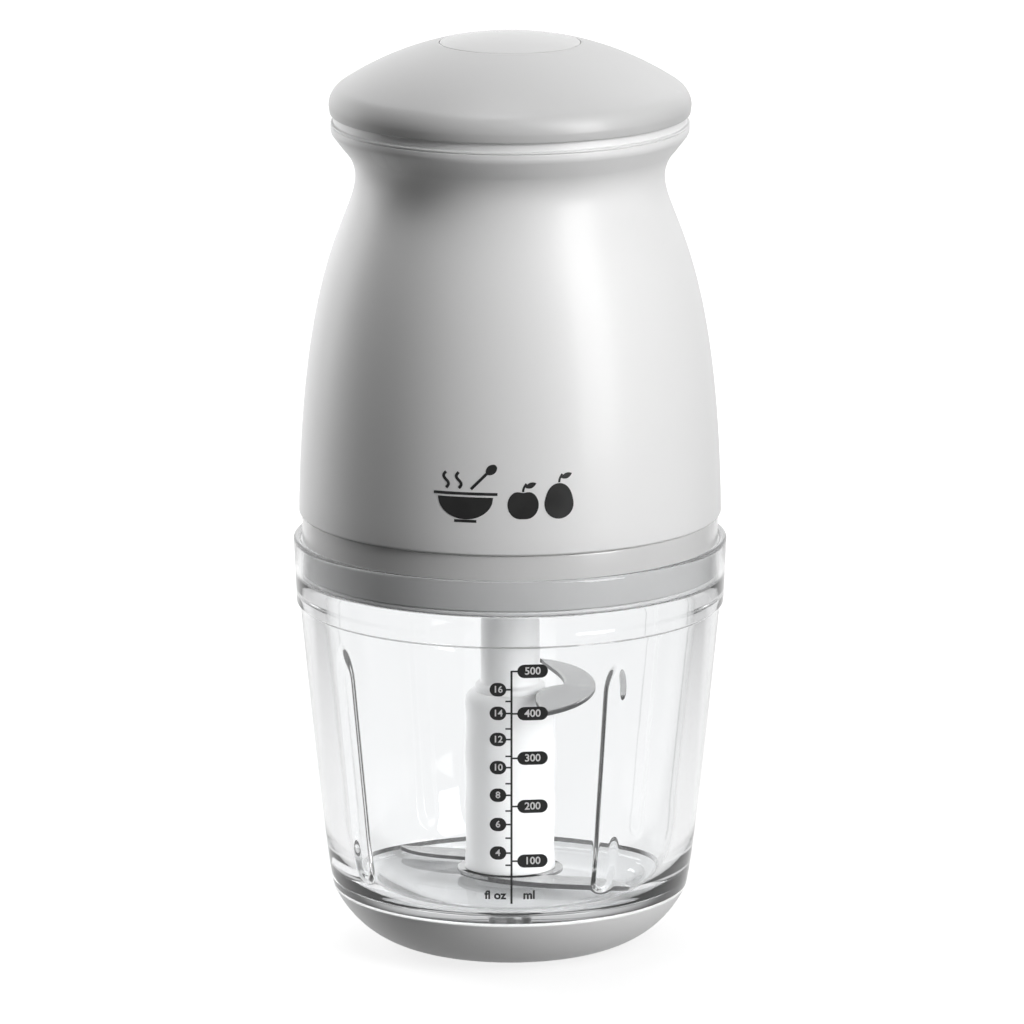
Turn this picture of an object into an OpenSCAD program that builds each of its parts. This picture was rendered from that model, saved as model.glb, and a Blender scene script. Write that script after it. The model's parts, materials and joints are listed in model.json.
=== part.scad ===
// Press-top baby food maker: a glass bowl in a silicone boot, a lid, a two-tier blade unit
// on a pivot pin, and a motor unit that runs while its domed top is pressed.
// Millimetres. Origin: centre of the foot, +Z up, the scale of the bowl faces -Y.

/* [Boot] */
// Height of the silicone boot
boot_h = 16.2; // [13:0.1:19]
// Radius of the flat foot, where the boot's curve starts
foot_r = 26; // [20:0.5:32]
// How far inside the bowl's rim the boot's outer curve would stand upright
boot_set_in = 7.9; // [5:0.1:11]
// Height at which the boot's outer curve would stand upright
boot_rise = 30; // [26:0.5:36]
// Thickness of the boot under the bowl
boot_floor_t = 3.6; // [2.5:0.1:5]
// How far the boot's inner curve stands inside its outer curve
boot_side_t = 1.7; // [1:0.1:3]
// Radius of the recess under the foot
foot_recess_r = 19; // [10:0.5:19.5]
// Depth of the recess under the foot
foot_recess = 0.8; // [0.4:0.1:1.5]

/* [Bowl] */
// Height of the bowl's rim above the table
bowl_h = 117; // [112:0.5:125]
// Outer radius of the bowl's rim
bowl_rim_r = 60.9; // [60.4:0.1:63]
// Height of the thick collar below the rim
collar_h = 19.3; // [14:0.1:24]
// How far the collar narrows from the rim to its foot
collar_taper = 0.8; // [0.5:0.1:1.1]
// How far the collar stands out from the wall
collar_step = 0.95; // [0.5:0.05:2]
// Thickness of the rim beside the lid
rim_t = 2.2; // [1.8:0.1:2.6]
// Depth of the lid's seat below the rim
seat_depth = 10.5; // [9:0.1:12]
// Width of the seat that carries the lid's seal
seat_w = 4.9; // [4:0.1:6]
// Height of the bowl's floor above the table
floor_z = 17.5; // [16.5:0.1:20]
// How far the inner wall leans in from the lid's seat to the floor
wall_lean = 9.4; // [8.3:0.1:10.3]
// Radius of the fillet between wall and floor
floor_fillet = 8.5; // [6:0.1:10]
// Number of ribs inside the bowl
rib_count = 4; // [3:1:6]
// Width of a rib
rib_w = 8; // [5:0.5:10]
// Height of a rib above the wall
rib_t = 3; // [1.5:0.1:3.4]
// Direction of the first rib, anticlockwise from +X
rib_turn = 33; // [0:1:89]
// Height at which the ribs start
rib_low_z = 23; // [22.8:0.1:30]
// Height at which the ribs end
rib_top_z = 92; // [80:1:98]

/* [Pivot] */
// Radius of the pivot pin
pin_r = 3; // [2.5:0.1:3.5]
// Radius of the pin's root in the bowl's floor
pin_root_r = 4; // [3.5:0.1:6]
// Depth of the pin's root in the bowl's floor
pin_root_h = 7; // [5:0.5:9]
// Radius of the pin's flange
pin_flange_r = 6.5; // [6:0.1:9]
// Thickness of the pin's flange
pin_flange_h = 0.8; // [0.5:0.1:1]
// Height of the pin's top above the floor
pin_h = 22; // [16:0.5:30]

/* [Blade unit] */
// Outer radius of the upper shaft
shaft_r = 8.4; // [8:0.1:9]
// Outer radius of the wide lower sleeve
sleeve_r = 12.8; // [11.5:0.1:14]
// Radius of the spigot that carries the blades
spigot_r = 7; // [6.6:0.1:7.4]
// Height of the lower blade's underside above the floor
blade_low_h = 2.2; // [2.1:0.1:3]
// Height of the upper blade's underside above the floor
blade_high_h = 55.1; // [45:0.5:62]
// Thickness of the blades
blade_t = 1.2; // [0.8:0.1:1.6]
// Space between the lower blade's tips and the bowl's wall
blade_clear = 3.1; // [2.8:0.1:14]
// Reach of the upper blade's tip from the axis
blade_high_reach = 33.4; // [26:0.1:38]
// Radius of the lower blade's central ring
blade_ring_r = 15; // [13.5:0.1:17]
// Radius of the ring that clamps the upper blade
clamp_r = 9.7; // [9.4:0.1:11]
// Thickness of the ring that clamps the upper blade
clamp_h = 1.6; // [1:0.1:3]
// Radius of the retainer under the lower blade
retainer_r = 10; // [9:0.1:12]
// Thickness of the retainer under the lower blade
retainer_h = 1; // [0.8:0.1:1.1]
// Wall of the bush that turns on the pivot pin
bush_t = 1.6; // [1.2:0.1:2]
// Width of the keys that drive the blades
key_w = 2.4; // [1.6:0.1:3]
// How far the keys stand out of the spigot
key_t = 1.2; // [0.8:0.1:1.4]

/* [Drive] */
// Radius of the drive hexagon's corners
hex_r = 5; // [4.2:0.1:5.3]
// Depth of the drive socket
hex_depth = 9.5; // [7:0.5:12]
// Outer radius of the socket insert
socket_r = 6.6; // [6.5:0.1:6.9]

/* [Lid] */
// Thickness of the lid's outer wall
lid_wall_t = 3; // [2:0.1:3.5]
// Thickness of the lid's floor
lid_floor_t = 3; // [2:0.1:3.4]
// How far the lid rises above the bowl's rim
lid_rise = 6.8; // [5:0.1:9]
// Width of the lid's seal
seal_w = 3.7; // [3:0.1:4.2]
// Thickness of the lid's seal
seal_h = 1.5; // [1:0.1:2]
// How far the seal stands below the lid's floor
seal_stand = 0.7; // [0.4:0.1:0.9]
// Wall of the bush in the lid's centre
lid_bush_t = 2; // [1.5:0.1:3]

/* [Housing] */
// How far the housing's lower edge stands out past the lid
housing_over = 0.9; // [0.6:0.1:2.6]
// Outer radius of the housing's lip
lip_r = 50; // [49.6:0.1:50.6]
// How far the neck lies inside the lip
neck_set_in = 6.8; // [5:0.1:7.5]
// Space between the end of the motor's shaft and the neck's narrowest place
neck_space = 5.8; // [4.2:0.1:9]
// Fullness of the bell's lower curve
bell_low = 75; // [66:0.5:80]
// Fullness of the bell's upper curve
bell_high = 11.9; // [9:0.1:16]
// Taper of the bell at its lower edge
bell_taper = 1.1; // [0.5:0.1:2]
// Radius of the flare above the neck
flare_r = 11; // [10.6:0.1:12]
// Height of the lip above the neck
lip_h = 13.8; // [13.4:0.1:15]
// Wall of the housing
housing_t = 2.8; // [2.2:0.1:3.2]

/* [Top] */
// Thickness of the guide collar's flange
flange_t = 1.4; // [1:0.1:2]
// Height of the guide collar's wall above its flange
guide_h = 3.9; // [3.4:0.1:4.1]
// How far the guide collar's wall lies inside the lip
guide_set_in = 1; // [0.9:0.1:1.4]
// Wall of the guide collar
guide_t = 1.8; // [1.2:0.1:2.4]
// Thickness of the deck under the button
deck_t = 2.2; // [1.6:0.1:3]
// Travel of the button
button_travel = 2.3; // [1.5:0.1:2.4]
// How far the button stands out past the lip
button_over = 0.5; // [0.4:0.1:1.2]
// Radius of the button's rounded edge
button_edge_r = 6.65; // [6:0.05:8]
// Radius of the button's crown
crown_r = 86; // [80:0.5:110]
// Height of the button's rounded edge above the guide collar's flange
button_edge_h = 4.7; // [4.5:0.1:5.5]
// Wall of the button at its crown
button_t = 2.4; // [2:0.1:3]
// Radius of the inlay in the button's crown
inlay_r = 19.6; // [15:0.1:24]
// Thickness of the inlay
inlay_t = 0.7; // [0.5:0.1:0.9]
// Depth of the inlay below the crown
inlay_sink = 0.25; // [0.1:0.05:0.35]

/* [Springs] */
// Number of return springs and guide screws
spring_count = 3; // [3:1:4]
// Distance of the springs from the axis
spring_at = 32; // [29:0.5:34]
// Mean radius of the spring's coil
spring_r = 5; // [4.6:0.1:5.6]
// Radius of the spring's wire
spring_wire_r = 0.5; // [0.35:0.05:0.6]
// Turns of a spring
spring_turns = 5; // [3:1:7]

/* [Motor] */
// Outer radius of the motor's stator
stator_r = 31; // [30:0.1:32]
// Height of the stator's stack
stack_h = 22; // [18:0.5:24]
// Width of the field, from the stator's outside in to the rotor
field_w = 15.8; // [15.5:0.1:17]
// Air gap between rotor and stator
air_gap = 0.6; // [0.4:0.05:0.8]
// Radius of the motor's shaft
motor_shaft_r = 3; // [2.5:0.1:3.2]
// Number of rotor slots
slot_count = 12; // [8:2:14]
// Radius of the commutator
commutator_r = 9; // [7.5:0.1:9.5]
// Radius of the ball bearings
bearing_r = 8; // [7:0.1:8.5]
// Width of the ball bearings
bearing_w = 6; // [5:0.1:6.5]
// Radius of the cooling fan
fan_r = 30; // [24:0.5:33]
// Number of fan blades
fan_blades = 11; // [7:1:15]

/* [Gearbox] */
// Module of the gears
gear_module = 1.25; // [1.2:0.01:1.26]
// Teeth of the sun gear
sun_teeth = 12; // [12:6:12]
// Teeth of a planet gear
planet_teeth = 18; // [18:6:18]
// Face width of the gears
gear_w = 10; // [8:0.5:12]
// Thinning of each tooth for backlash
backlash = 0.1; // [0.06:0.01:0.16]
// Wall of the gear case outside the teeth
gear_case_t = 3; // [2:0.1:3.2]
// Radius of the planet pins
planet_pin_r = 2.5; // [2:0.1:3]
// Radius of the output shaft
output_r = 4.4; // [4:0.1:4.8]

/* [Cord entry] */
// Height of the cord entry above the housing's lower edge
entry_h = 70; // [62:0.5:74]
// Bore of the cord bush
cord_bore_r = 3.6; // [3:0.1:4]
// Outer radius of the cord bush's neck
bush_neck_r = 6.5; // [6:0.1:7]

/* [Clearances] */
// Running clearance of shafts in bushes
run_gap = 0.08; // [0.05:0.01:0.1]
// Clearance between a screw or key and its hole
fit_gap = 0.1; // [0.05:0.01:0.15]
// Clearance between parts that lift or slide past each other
slide_gap = 0.3; // [0.25:0.01:0.4]

/* [Hidden] */
$fn = 64;
tiny = 0.01;

// ---- Levels, from the table up ----
seat_z = bowl_h - seat_depth;
collar_z = bowl_h - collar_h;
lid_floor_z = seat_z + seal_stand;
lid_recess_z = lid_floor_z + lid_floor_t;
lid_top_z = bowl_h + lid_rise;
cover_gap = 1.8;
cover_floor_t = 2.5;
cover_z = lid_recess_z + cover_gap;
cover_floor_top = cover_z + cover_floor_t;
gear_skirt_h = 5.5;
gear_plate_t = 3;
gear_plate_z = cover_floor_top + gear_skirt_h;
carrier_gap = 0.5;
carrier_t = 3;
carrier_z = gear_plate_z + gear_plate_t + carrier_gap;
gear_z = carrier_z + carrier_t + carrier_gap;
gear_top = gear_z + gear_w;
gear_cover_z = gear_top + carrier_gap;
gear_cover_t = 3;
motor_z = gear_cover_z + gear_cover_t;
bracket_low_h = 16;
stack_z = motor_z + bracket_low_h;
stack_top = stack_z + stack_h;
winding_h = 4.5;
winding_gap = 1;
commutator_z = stack_top + winding_h + winding_gap;
commutator_h = 11;
brush_space = 5.5;
bracket_top = commutator_z + commutator_h + brush_space;
plate_t = 3;
fan_space = 4.6;
fan_z = bracket_top + fan_space;
fan_disc_t = 1.5;
fan_h = 7.5;
shaft_end = 1;
shaft_top = fan_z + fan_h + shaft_end;
neck_z = shaft_top + neck_space;
lip_z = neck_z + lip_h;
flange_top = lip_z + flange_t;
deck_z = lip_z - deck_t;
switch_h = 10.5;
switch_z = deck_z - switch_h;

// ---- Radii, from the bowl's rim and from the lip ----
seat_out_r = bowl_rim_r - rim_t;
seat_in_r = seat_out_r - seat_w;
collar_foot_r = bowl_rim_r - collar_taper;
collar_bevel = 0.7;
floor_wall_r = seat_in_r - wall_lean;
boot_r = bowl_rim_r - boot_set_in;
lid_r = seat_out_r - slide_gap;
housing_r = lid_r + housing_over;
neck_r = lip_r - neck_set_in;
guide_r = lip_r - guide_set_in;
button_r = lip_r + button_over;

// ---- Boot and bowl curves ----
boot_out_end = acos(1 - boot_h / boot_rise);
boot_in_end = acos((boot_rise - boot_h) / (boot_rise - boot_floor_t));
boot_rim_r = foot_r + (boot_r - foot_r) * sin(boot_out_end);
curve_steps = 10;
boot_outer = [for (i = [0:curve_steps]) let (a = boot_out_end * i / curve_steps)
    [foot_r + (boot_r - foot_r) * sin(a), boot_rise * (1 - cos(a))]];
boot_inner = [for (i = [0:curve_steps]) let (a = boot_in_end * i / curve_steps)
    [foot_r + (boot_r - foot_r - boot_side_t) * sin(a),
     boot_rise - (boot_rise - boot_floor_t) * cos(a)]];
wall_slope = (seat_in_r - floor_wall_r) / (seat_z - floor_z);
wall_tilt = atan(wall_slope);
fillet_mid_r = floor_wall_r + wall_slope * floor_fillet - floor_fillet / cos(wall_tilt);
function bowl_inner_r(z) = floor_wall_r + wall_slope * (z - floor_z);
function fillet_r(z) = z >= floor_z + floor_fillet ? bowl_inner_r(z)
    : fillet_mid_r + sqrt(pow(floor_fillet, 2) - pow(floor_z + floor_fillet - z, 2));
wall_top_r = collar_foot_r - collar_step;
wall_run = collar_z - boot_h;
rib_fade = 8;
rib_toe = 3;
rib_bury = 1.5;
bowl_outer = bezier([boot_rim_r, boot_h], [boot_rim_r + 0.03 * wall_run, boot_h + 0.13 * wall_run],
    [wall_top_r - 0.032 * wall_run, collar_z - 0.32 * wall_run], [wall_top_r, collar_z], 12);

// ---- Blade unit ----
blade_low_z = floor_z + blade_low_h;
blade_high_z = floor_z + blade_high_h;
blade_low_reach = floor_wall_r - blade_clear;
sleeve_z = blade_low_z + blade_t;
sleeve_round = 3;
sleeve_bevel = 0.4;
core_stand = 4;
core_top = cover_z + core_stand;
pin_top = floor_z + pin_h;
pin_nose = 0.6;
bush_r = pin_r + run_gap + bush_t;
bush_low = floor_z + pin_flange_h + slide_gap;
bush_end_t = 2.7;
bush_top = pin_top + slide_gap + bush_end_t;
socket_floor_t = 1.5;
socket_h = hex_depth + socket_floor_t;
socket_z = core_top - socket_h;
dog_gap = 0.5;
dog_play = 0.25;
dog_z = core_top - hex_depth + dog_gap;
dog_h = 9.5;

// ---- Lid ----
lid_edge = 0.6;
lid_bush_r = shaft_r + run_gap;
lid_bush_lip_w = 1.5;
lid_bush_lip_h = 1.2;
lid_bush_foot = 1;

// ---- Housing curves ----
bell_steps = 14;
flare_steps = 6;
bell_outer = bezier([housing_r, lid_top_z], [housing_r - bell_taper, lid_top_z + bell_low],
    [neck_r, neck_z - bell_high], [neck_r, neck_z], bell_steps);
bell_inner = [for (p = bell_outer) [p[0] - housing_t, p[1]]];
flare_mid_r = neck_r + flare_r;
lip_round = 0.8;
lip_seat_w = 2;
lip_in_r = guide_r - lip_seat_w;
flare_out_end = acos((flare_mid_r - lip_r + lip_round) / flare_r);
flare_in_end = acos((flare_mid_r - lip_in_r) / (flare_r + housing_t));
function flare(radius, last) = [for (i = [1:flare_steps]) let (a = last * i / flare_steps)
    [flare_mid_r - radius * cos(a), neck_z + radius * sin(a)]];
// Inner radius of the bell at a height, between the points of its curve
function bell_inner_r(z) = lookup(z, [for (p = bell_inner) [p[1], p[0]]]);
cover_side_gap = 0.4;
cover_r = lid_r - lid_wall_t - cover_side_gap;
cover_wall_t = 2.4;
cover_hole_r = 12.5;
boss_set_in = 6.4;
boss_at = cover_r - boss_set_in;
boss_r = 3.4;
slim_boss_r = 3;
wide_boss_r = 4;
web_t = 2;
web_bury = 0.5;
hole_floor_t = 1;
screw_r = 1.5;
screw_head_r = 2.8;
screw_head_h = 1.8;
head_gap = 0.2;
screw_slot_w = 0.6;
screw_slot_len = 3.2;
screw_slot_depth = 1;
cover_flange_t = 3;
cover_top = lid_top_z + cover_flange_t;
cover_screw_z = cover_z + 6;
cover_screw_bite = 10;
boss_h = 15;
spider_lift = 9;
spider_z = stack_top + spider_lift;
spider_t = 4;
spider_set_in = 8.1;
spider_at = bell_inner_r(spider_z) - spider_set_in;
spider_turn = 30;
spider_boss_h = 8;
spider_hole_h = 6.5;
spider_hub_t = 3.2;
spider_arm_w = 6;
spider_screw_len = 9;
collar_screw_in = 8.5;
collar_screw_at = lip_in_r - collar_screw_in;
collar_screw_len = 7;
collar_boss_h = 9;

// ---- Circuit board, held upright in two slotted posts of the bottom cover ----
board_space = 10;
board_y = stator_r + board_space;
board_t = 1.6;
board_w = 29;
board_h = 26;
board_lift = 30;
board_low = cover_floor_top + board_lift;
board_edge = 1;
post_w = 4;
post_d = 6;
slot_depth = 4;
lead_x = 9;
lead_r = 0.9;
lead_hole_r = 1.2;
lead_hole_drop = 3;
lead_bend = 8;
lead_y = (fan_r + neck_r - housing_t) / 2;
suppressor_size = [12, 6.6, 14];
suppressor_lift = 7;
switch_size = [22, 12, switch_h];
switch_lead_h = 4;

// ---- Cord entry: a flat pad through the bell's wall carries the bush ----
entry_z = lid_top_z + entry_h;
pad_rim = 3;
pad_bury = 1;
pad_stand = 0.3;
pad_r = bush_neck_r + pad_rim;
pad_in = bell_inner_r(entry_z + pad_r) - pad_bury;
pad_out = bell_inner_r(entry_z - pad_r) + housing_t + pad_stand;
bush_lip = 1.6;
bush_nose = 3.4;
bush_nose_t = 1;

// ---- Button ----
flange_gap = 0.1;
skirt_z = flange_top + button_travel + flange_gap;
edge_z = flange_top + button_edge_h;
crown_mid_z = edge_z - sqrt(pow(crown_r - button_edge_r, 2) - pow(button_r - button_edge_r, 2));
skirt_in_r = guide_r + slide_gap;
skirt_t = button_r - skirt_in_r;
inner_crown_r = crown_r - button_t;
inner_edge_r = button_edge_r - skirt_t;
function crown_z(r, radius) = crown_mid_z + sqrt(pow(radius, 2) - pow(r, 2));
// Points of a sphere about the crown's centre, from one distance off the axis to another
function crown_arc(radius, end_r, start_r) = [for (i = [0:8]) let (r = start_r
        + (end_r - start_r) * i / 8) [r, crown_z(r, radius)]];
skirt_edge = 0.3;
spring_h = 9.8;
spring_boss_z = deck_z + deck_t + spring_h;
spring_boss_t = 1.4;
post_r = 3.5;
post_gap = 0.2;
plunger_r = 2;
plunger_stand = 0.8;
plunger_top = lip_z + plunger_stand;
plunger_h = 6.4;
guide_pin_r = 2.6;
guide_boss_t = 1.2;
guide_play = 0.5;
guide_screw_bite = 9;
guide_hole_h = 17;
inlay_gap = 0.15;
crown_bury = 0.8;

// ---- Gears ----
pressure = 25;
addendum = 0.8;
dedendum = 1.1;
ring_teeth = sun_teeth + 2 * planet_teeth;
orbit_r = gear_module * (sun_teeth + planet_teeth) / 2;
ring_root_r = gear_module * (ring_teeth / 2 + dedendum);
gear_case_r = ring_root_r + gear_case_t;
ear_out = 2.6;
ear_at = gear_case_r + ear_out;
ear_r = 3.6;
ear_h = 4;
ear_foot_h = 2;
ear_head_sink = 0.6;
ring_relief = 0.6;
gear_end_gap = 0.25;
sun_gap = 0.5;
output_bush_t = 1.6;
output_lip_w = 3;
output_lip_h = 1.5;
output_lip_top = 0.4;
carrier_rim = 2.4;

// ---- Motor ----
bracket_t = 3.6;
rotor_r = stator_r - field_w;
window_w = 24;
window_low = 4;
window_top = 5;
bolt_set_in = 2.2;
bolt_at = stator_r - bolt_set_in;
shaft_hole_gap = 1;
bearing_wall_t = 2;
bearing_sink = 2;
race_t = 1.6;
race_groove = 0.6;
ball_count = 8;
ball_gap = 0.02;
pole_w = 14;
shoe_half_angle = 52;
shoe_t = 2.6;
yoke_t = 4.5;
coil_t = 4.6;
coil_w = 4;
coil_out = 3.2;
coil_gap = 0.1;
brush_z = commutator_z + commutator_h / 2;
brush_w = 5;
brush_len = 11;
brush_gap = 0.3;
holder_w = 8;
holder_space = 3;
holder_end = 0.2;
slot_w = 2;
slot_in = 4.6;
wire_w = 1.8;
wire_in = 4.5;
wire_d = 3.3;
winding_in = 1.2;
commutator_foot = 1;
commutator_cut_w = 0.4;
commutator_cut = 0.8;
fan_hub_r = 7;
fan_blade_t = 1.2;
fan_blade_in = 1;
fan_blade_share = 0.85;
fan_blade_turn = 25;

// ---- Shared functions and shapes ----
function bezier(a, b, c, d, n) = [for (i = [0:n]) let (t = i / n, s = 1 - t)
    s * s * s * a + 3 * s * s * t * b + 3 * s * t * t * c + t * t * t * d];
function reversed(list) = [for (i = [len(list) - 1:-1:0]) list[i]];
function arc(mid, radius, from, to, n) = [for (i = [0:n]) let (a = from + (to - from) * i / n)
    [mid[0] + radius * cos(a), mid[1] + radius * sin(a)]];

module tube(outer, inner, h) {
    difference() {
        cylinder(r = outer, h = h);
        translate([0, 0, -1]) cylinder(r = inner, h = h + 2);
    }
}

module around(count, at, turn = 0) {
    for (i = [0:count - 1]) rotate(turn + 360 * i / count) translate([at, 0, 0]) children();
}

// A screw that points up: its head lies below z = 0 and its shank above
module screw(len, shank = screw_r) {
    difference() {
        union() {
            translate([0, 0, -screw_head_h]) cylinder(r = screw_head_r, h = screw_head_h, $fn = 32);
            cylinder(r = shank, h = len, $fn = 24);
        }
        for (a = [0, 90]) rotate(a) translate([-screw_slot_len / 2, -screw_slot_w / 2,
            -screw_head_h - 1]) cube([screw_slot_len, screw_slot_w, screw_slot_depth + 1]);
    }
}

// ---- Gear outlines ----
function involute(base, r) = let (t = sqrt(max(0, pow(r / base, 2) - 1))) t * 180 / PI - atan(t);
// Half the angle of a tooth at radius r; thin is how much the tooth loses at its pitch circle
function tooth_half(teeth, r, thin) = let (pitch = gear_module * teeth / 2,
        base = pitch * cos(pressure))
    90 / teeth - thin / pitch * 90 / PI + involute(base, pitch) - involute(base, max(r, base));
flank_steps = 4;
function tooth(teeth, root, tip, thin) = let (start = max(root, gear_module * teeth / 2 * cos(pressure)))
    concat([[root, tooth_half(teeth, start, thin)]],
        [for (i = [0:flank_steps]) let (r = start + (tip - start) * i / flank_steps)
            [r, tooth_half(teeth, r, thin)]]);
function gear_outline(teeth, root, tip, thin) = let (flank = tooth(teeth, root, tip, thin))
    [for (k = [0:teeth - 1]) let (mid = 360 * k / teeth)
        for (p = concat([for (q = flank) [q[0], -q[1]]], reversed(flank)))
            p[0] * [cos(mid + p[1]), sin(mid + p[1])]];

module outer_gear(teeth) {
    pitch = gear_module * teeth / 2;
    polygon(gear_outline(teeth, pitch - dedendum * gear_module, pitch + addendum * gear_module,
        backlash));
}

// The space inside a ring gear is an outer gear with long, wide teeth
module ring_space(teeth) {
    pitch = gear_module * teeth / 2;
    polygon(gear_outline(teeth, pitch - addendum * gear_module, pitch + dedendum * gear_module,
        -backlash));
}

// ---- Bowl group ----
module base_boot() color("gainsboro") rotate_extrude($fn = 96)
    polygon(concat([[0, foot_recess], [foot_recess_r, foot_recess], [foot_recess_r, 0]],
        boot_outer, reversed(boot_inner), [[0, boot_floor_t]]));

module bowl_section() {
    round_r = rim_t / 2;
    polygon(concat([[0, boot_floor_t]], boot_inner, bowl_outer,
        [[collar_foot_r, collar_z + collar_bevel]],
        arc([bowl_rim_r - round_r, bowl_h - round_r], round_r, 0, 180, 6),
        [[seat_out_r, seat_z], [seat_in_r, seat_z]],
        arc([fillet_mid_r, floor_z + floor_fillet], floor_fillet, -wall_tilt, -90, 6),
        [[0, floor_z]]));
}

// One rib, drawn in the plane of the bowl's radius and height
module rib() {
    low_r = fillet_r(rib_low_z);
    rotate([90, 0, 0]) translate([0, 0, -rib_w / 2]) linear_extrude(rib_w)
        polygon([[low_r + rib_bury, rib_low_z], [low_r - rib_t / 2, rib_low_z],
            [bowl_inner_r(rib_low_z + rib_toe) - rib_t, rib_low_z + rib_toe],
            [bowl_inner_r(rib_top_z - rib_fade) - rib_t, rib_top_z - rib_fade],
            [bowl_inner_r(rib_top_z), rib_top_z],
            [bowl_inner_r(rib_top_z) + rib_bury, rib_top_z]]);
}

module glass_bowl() color("azure", 0.4) difference() {
    union() {
        rotate_extrude($fn = 96) bowl_section();
        for (i = [0:rib_count - 1]) rotate(rib_turn + 360 * i / rib_count) rib();
    }
    translate([0, 0, floor_z - pin_root_h]) cylinder(r = pin_root_r, h = pin_root_h + 1);
}

module pivot_pin() color("silver") {
    translate([0, 0, floor_z - pin_root_h]) cylinder(r = pin_root_r, h = pin_root_h);
    translate([0, 0, floor_z]) cylinder(r = pin_flange_r, h = pin_flange_h);
    translate([0, 0, floor_z]) cylinder(r = pin_r, h = pin_h - pin_nose);
    translate([0, 0, pin_top - pin_nose]) cylinder(r1 = pin_r, r2 = pin_r - pin_nose,
        h = pin_nose);
}

// ---- Blade unit ----
// The keys that lock blades and sleeve to the spigot, from one height to another
module keys(low, high, gap = 0) {
    for (a = [0, 180]) rotate(a) translate([0, -key_w / 2 - gap, low])
        cube([spigot_r + key_t + gap, key_w + 2 * gap, high - low]);
}

module hub_core() color("white") difference() {
    union() {
        translate([0, 0, blade_low_z]) cylinder(r = spigot_r, h = blade_high_z + blade_t
            - blade_low_z);
        keys(blade_low_z, blade_high_z + blade_t);
        translate([0, 0, blade_high_z + blade_t]) cylinder(r = clamp_r, h = clamp_h);
        translate([0, 0, blade_high_z + blade_t]) cylinder(r = shaft_r, h = core_top
            - blade_high_z - blade_t);
    }
    translate([0, 0, blade_low_z - 1]) cylinder(r = bush_r, h = bush_top - blade_low_z + 1);
    translate([0, 0, socket_z]) cylinder(r = socket_r, h = socket_h + 1);
}

module hub_sleeve() color("white") difference() {
    h = blade_high_z - sleeve_z;
    translate([0, 0, sleeve_z]) rotate_extrude($fn = 72) polygon(concat(
        [[spigot_r + fit_gap, 0], [sleeve_r - sleeve_bevel, 0], [sleeve_r, sleeve_bevel]],
        arc([sleeve_r - sleeve_round, h - sleeve_round], sleeve_round, 0, 90, 5),
        [[spigot_r + fit_gap, h]]));
    keys(sleeve_z - 1, blade_high_z + 1, fit_gap);
}

module hub_bush() color("tan") difference() {
    translate([0, 0, bush_low]) cylinder(r = bush_r, h = bush_top - bush_low);
    translate([0, 0, bush_low - 1]) cylinder(r = pin_r + run_gap, h = pin_top + slide_gap
        - bush_low + 1);
}

module drive_socket() color("dimgray") difference() {
    translate([0, 0, socket_z]) cylinder(r = socket_r, h = socket_h);
    translate([0, 0, core_top - hex_depth]) cylinder(r = hex_r + dog_play, h = hex_depth + 1, $fn = 6);
}

module blade_hole() {
    circle(r = spigot_r + fit_gap);
    for (a = [0, 180]) rotate(a) translate([0, -key_w / 2 - fit_gap])
        square([spigot_r + key_t + fit_gap, key_w + 2 * fit_gap]);
}

// A swept wing: its leading edge runs out to the tip and its trailing edge back to the ring
module low_wing() {
    s = blade_low_reach;
    tip = s * [0.787, -0.617];
    polygon(concat(
        bezier([-0.34 * s, -0.11 * s], [-0.16 * s, -0.46 * s], [0.36 * s, -0.59 * s], tip, 8),
        bezier(tip, [0.72 * s, -0.36 * s], [0.42 * s, -0.33 * s], [0.15 * s, -0.255 * s], 6)));
}

module lower_blade() color("lightsteelblue") translate([0, 0, blade_low_z])
    linear_extrude(blade_t) difference() {
        union() {
            circle(r = blade_ring_r);
            for (a = [0, 180]) rotate(a) low_wing();
        }
        blade_hole();
    }

// A crescent beside the hub, joined to the clamped ring by its root
module high_wing() {
    s = blade_high_reach;
    front = s * [0.285, -0.958];
    back = s * [0.27, 0.93];
    polygon(concat(
        bezier(front, [0.86 * s, -0.51 * s], [0.88 * s, 0.66 * s], back, 10),
        bezier(back, [0.31 * s, 0.66 * s], [0.49 * s, 0.36 * s], [0.455 * s, 0], 6),
        [[0.3 * s, -0.06 * s], [0, 0], [0.1 * s, -0.25 * s]]));
}

module upper_blade() color("lightsteelblue") translate([0, 0, blade_high_z])
    linear_extrude(blade_t) difference() {
        union() {
            circle(r = clamp_r);
            high_wing();
        }
        blade_hole();
    }

module blade_retainer() color("white") translate([0, 0, blade_low_z - retainer_h])
    tube(retainer_r, bush_r + fit_gap, retainer_h);

// ---- Lid ----
module lid() color("lightgray") {
    band_z = seat_z + seal_h;
    rotate_extrude($fn = 96) polygon([[lid_bush_r + lid_bush_t, lid_floor_z],
        [lid_r - seal_w, lid_floor_z], [lid_r - seal_w, band_z], [lid_r, band_z],
        [lid_r, lid_top_z - lid_edge], [lid_r - lid_edge, lid_top_z],
        [lid_r - lid_wall_t, lid_top_z], [lid_r - lid_wall_t, lid_recess_z],
        [lid_bush_r + lid_bush_t, lid_recess_z]]);
}

module lid_seal() color("whitesmoke") translate([0, 0, seat_z])
    tube(lid_r - fit_gap, lid_r - seal_w, seal_h);

module lid_bush() color("ivory") {
    translate([0, 0, lid_floor_z - lid_bush_foot]) tube(lid_bush_r + lid_bush_t, lid_bush_r,
        lid_floor_t + lid_bush_foot + lid_bush_lip_h);
    translate([0, 0, lid_recess_z]) tube(lid_bush_r + lid_bush_t + lid_bush_lip_w,
        lid_bush_r + lid_bush_t / 2, lid_bush_lip_h);
}

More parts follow.
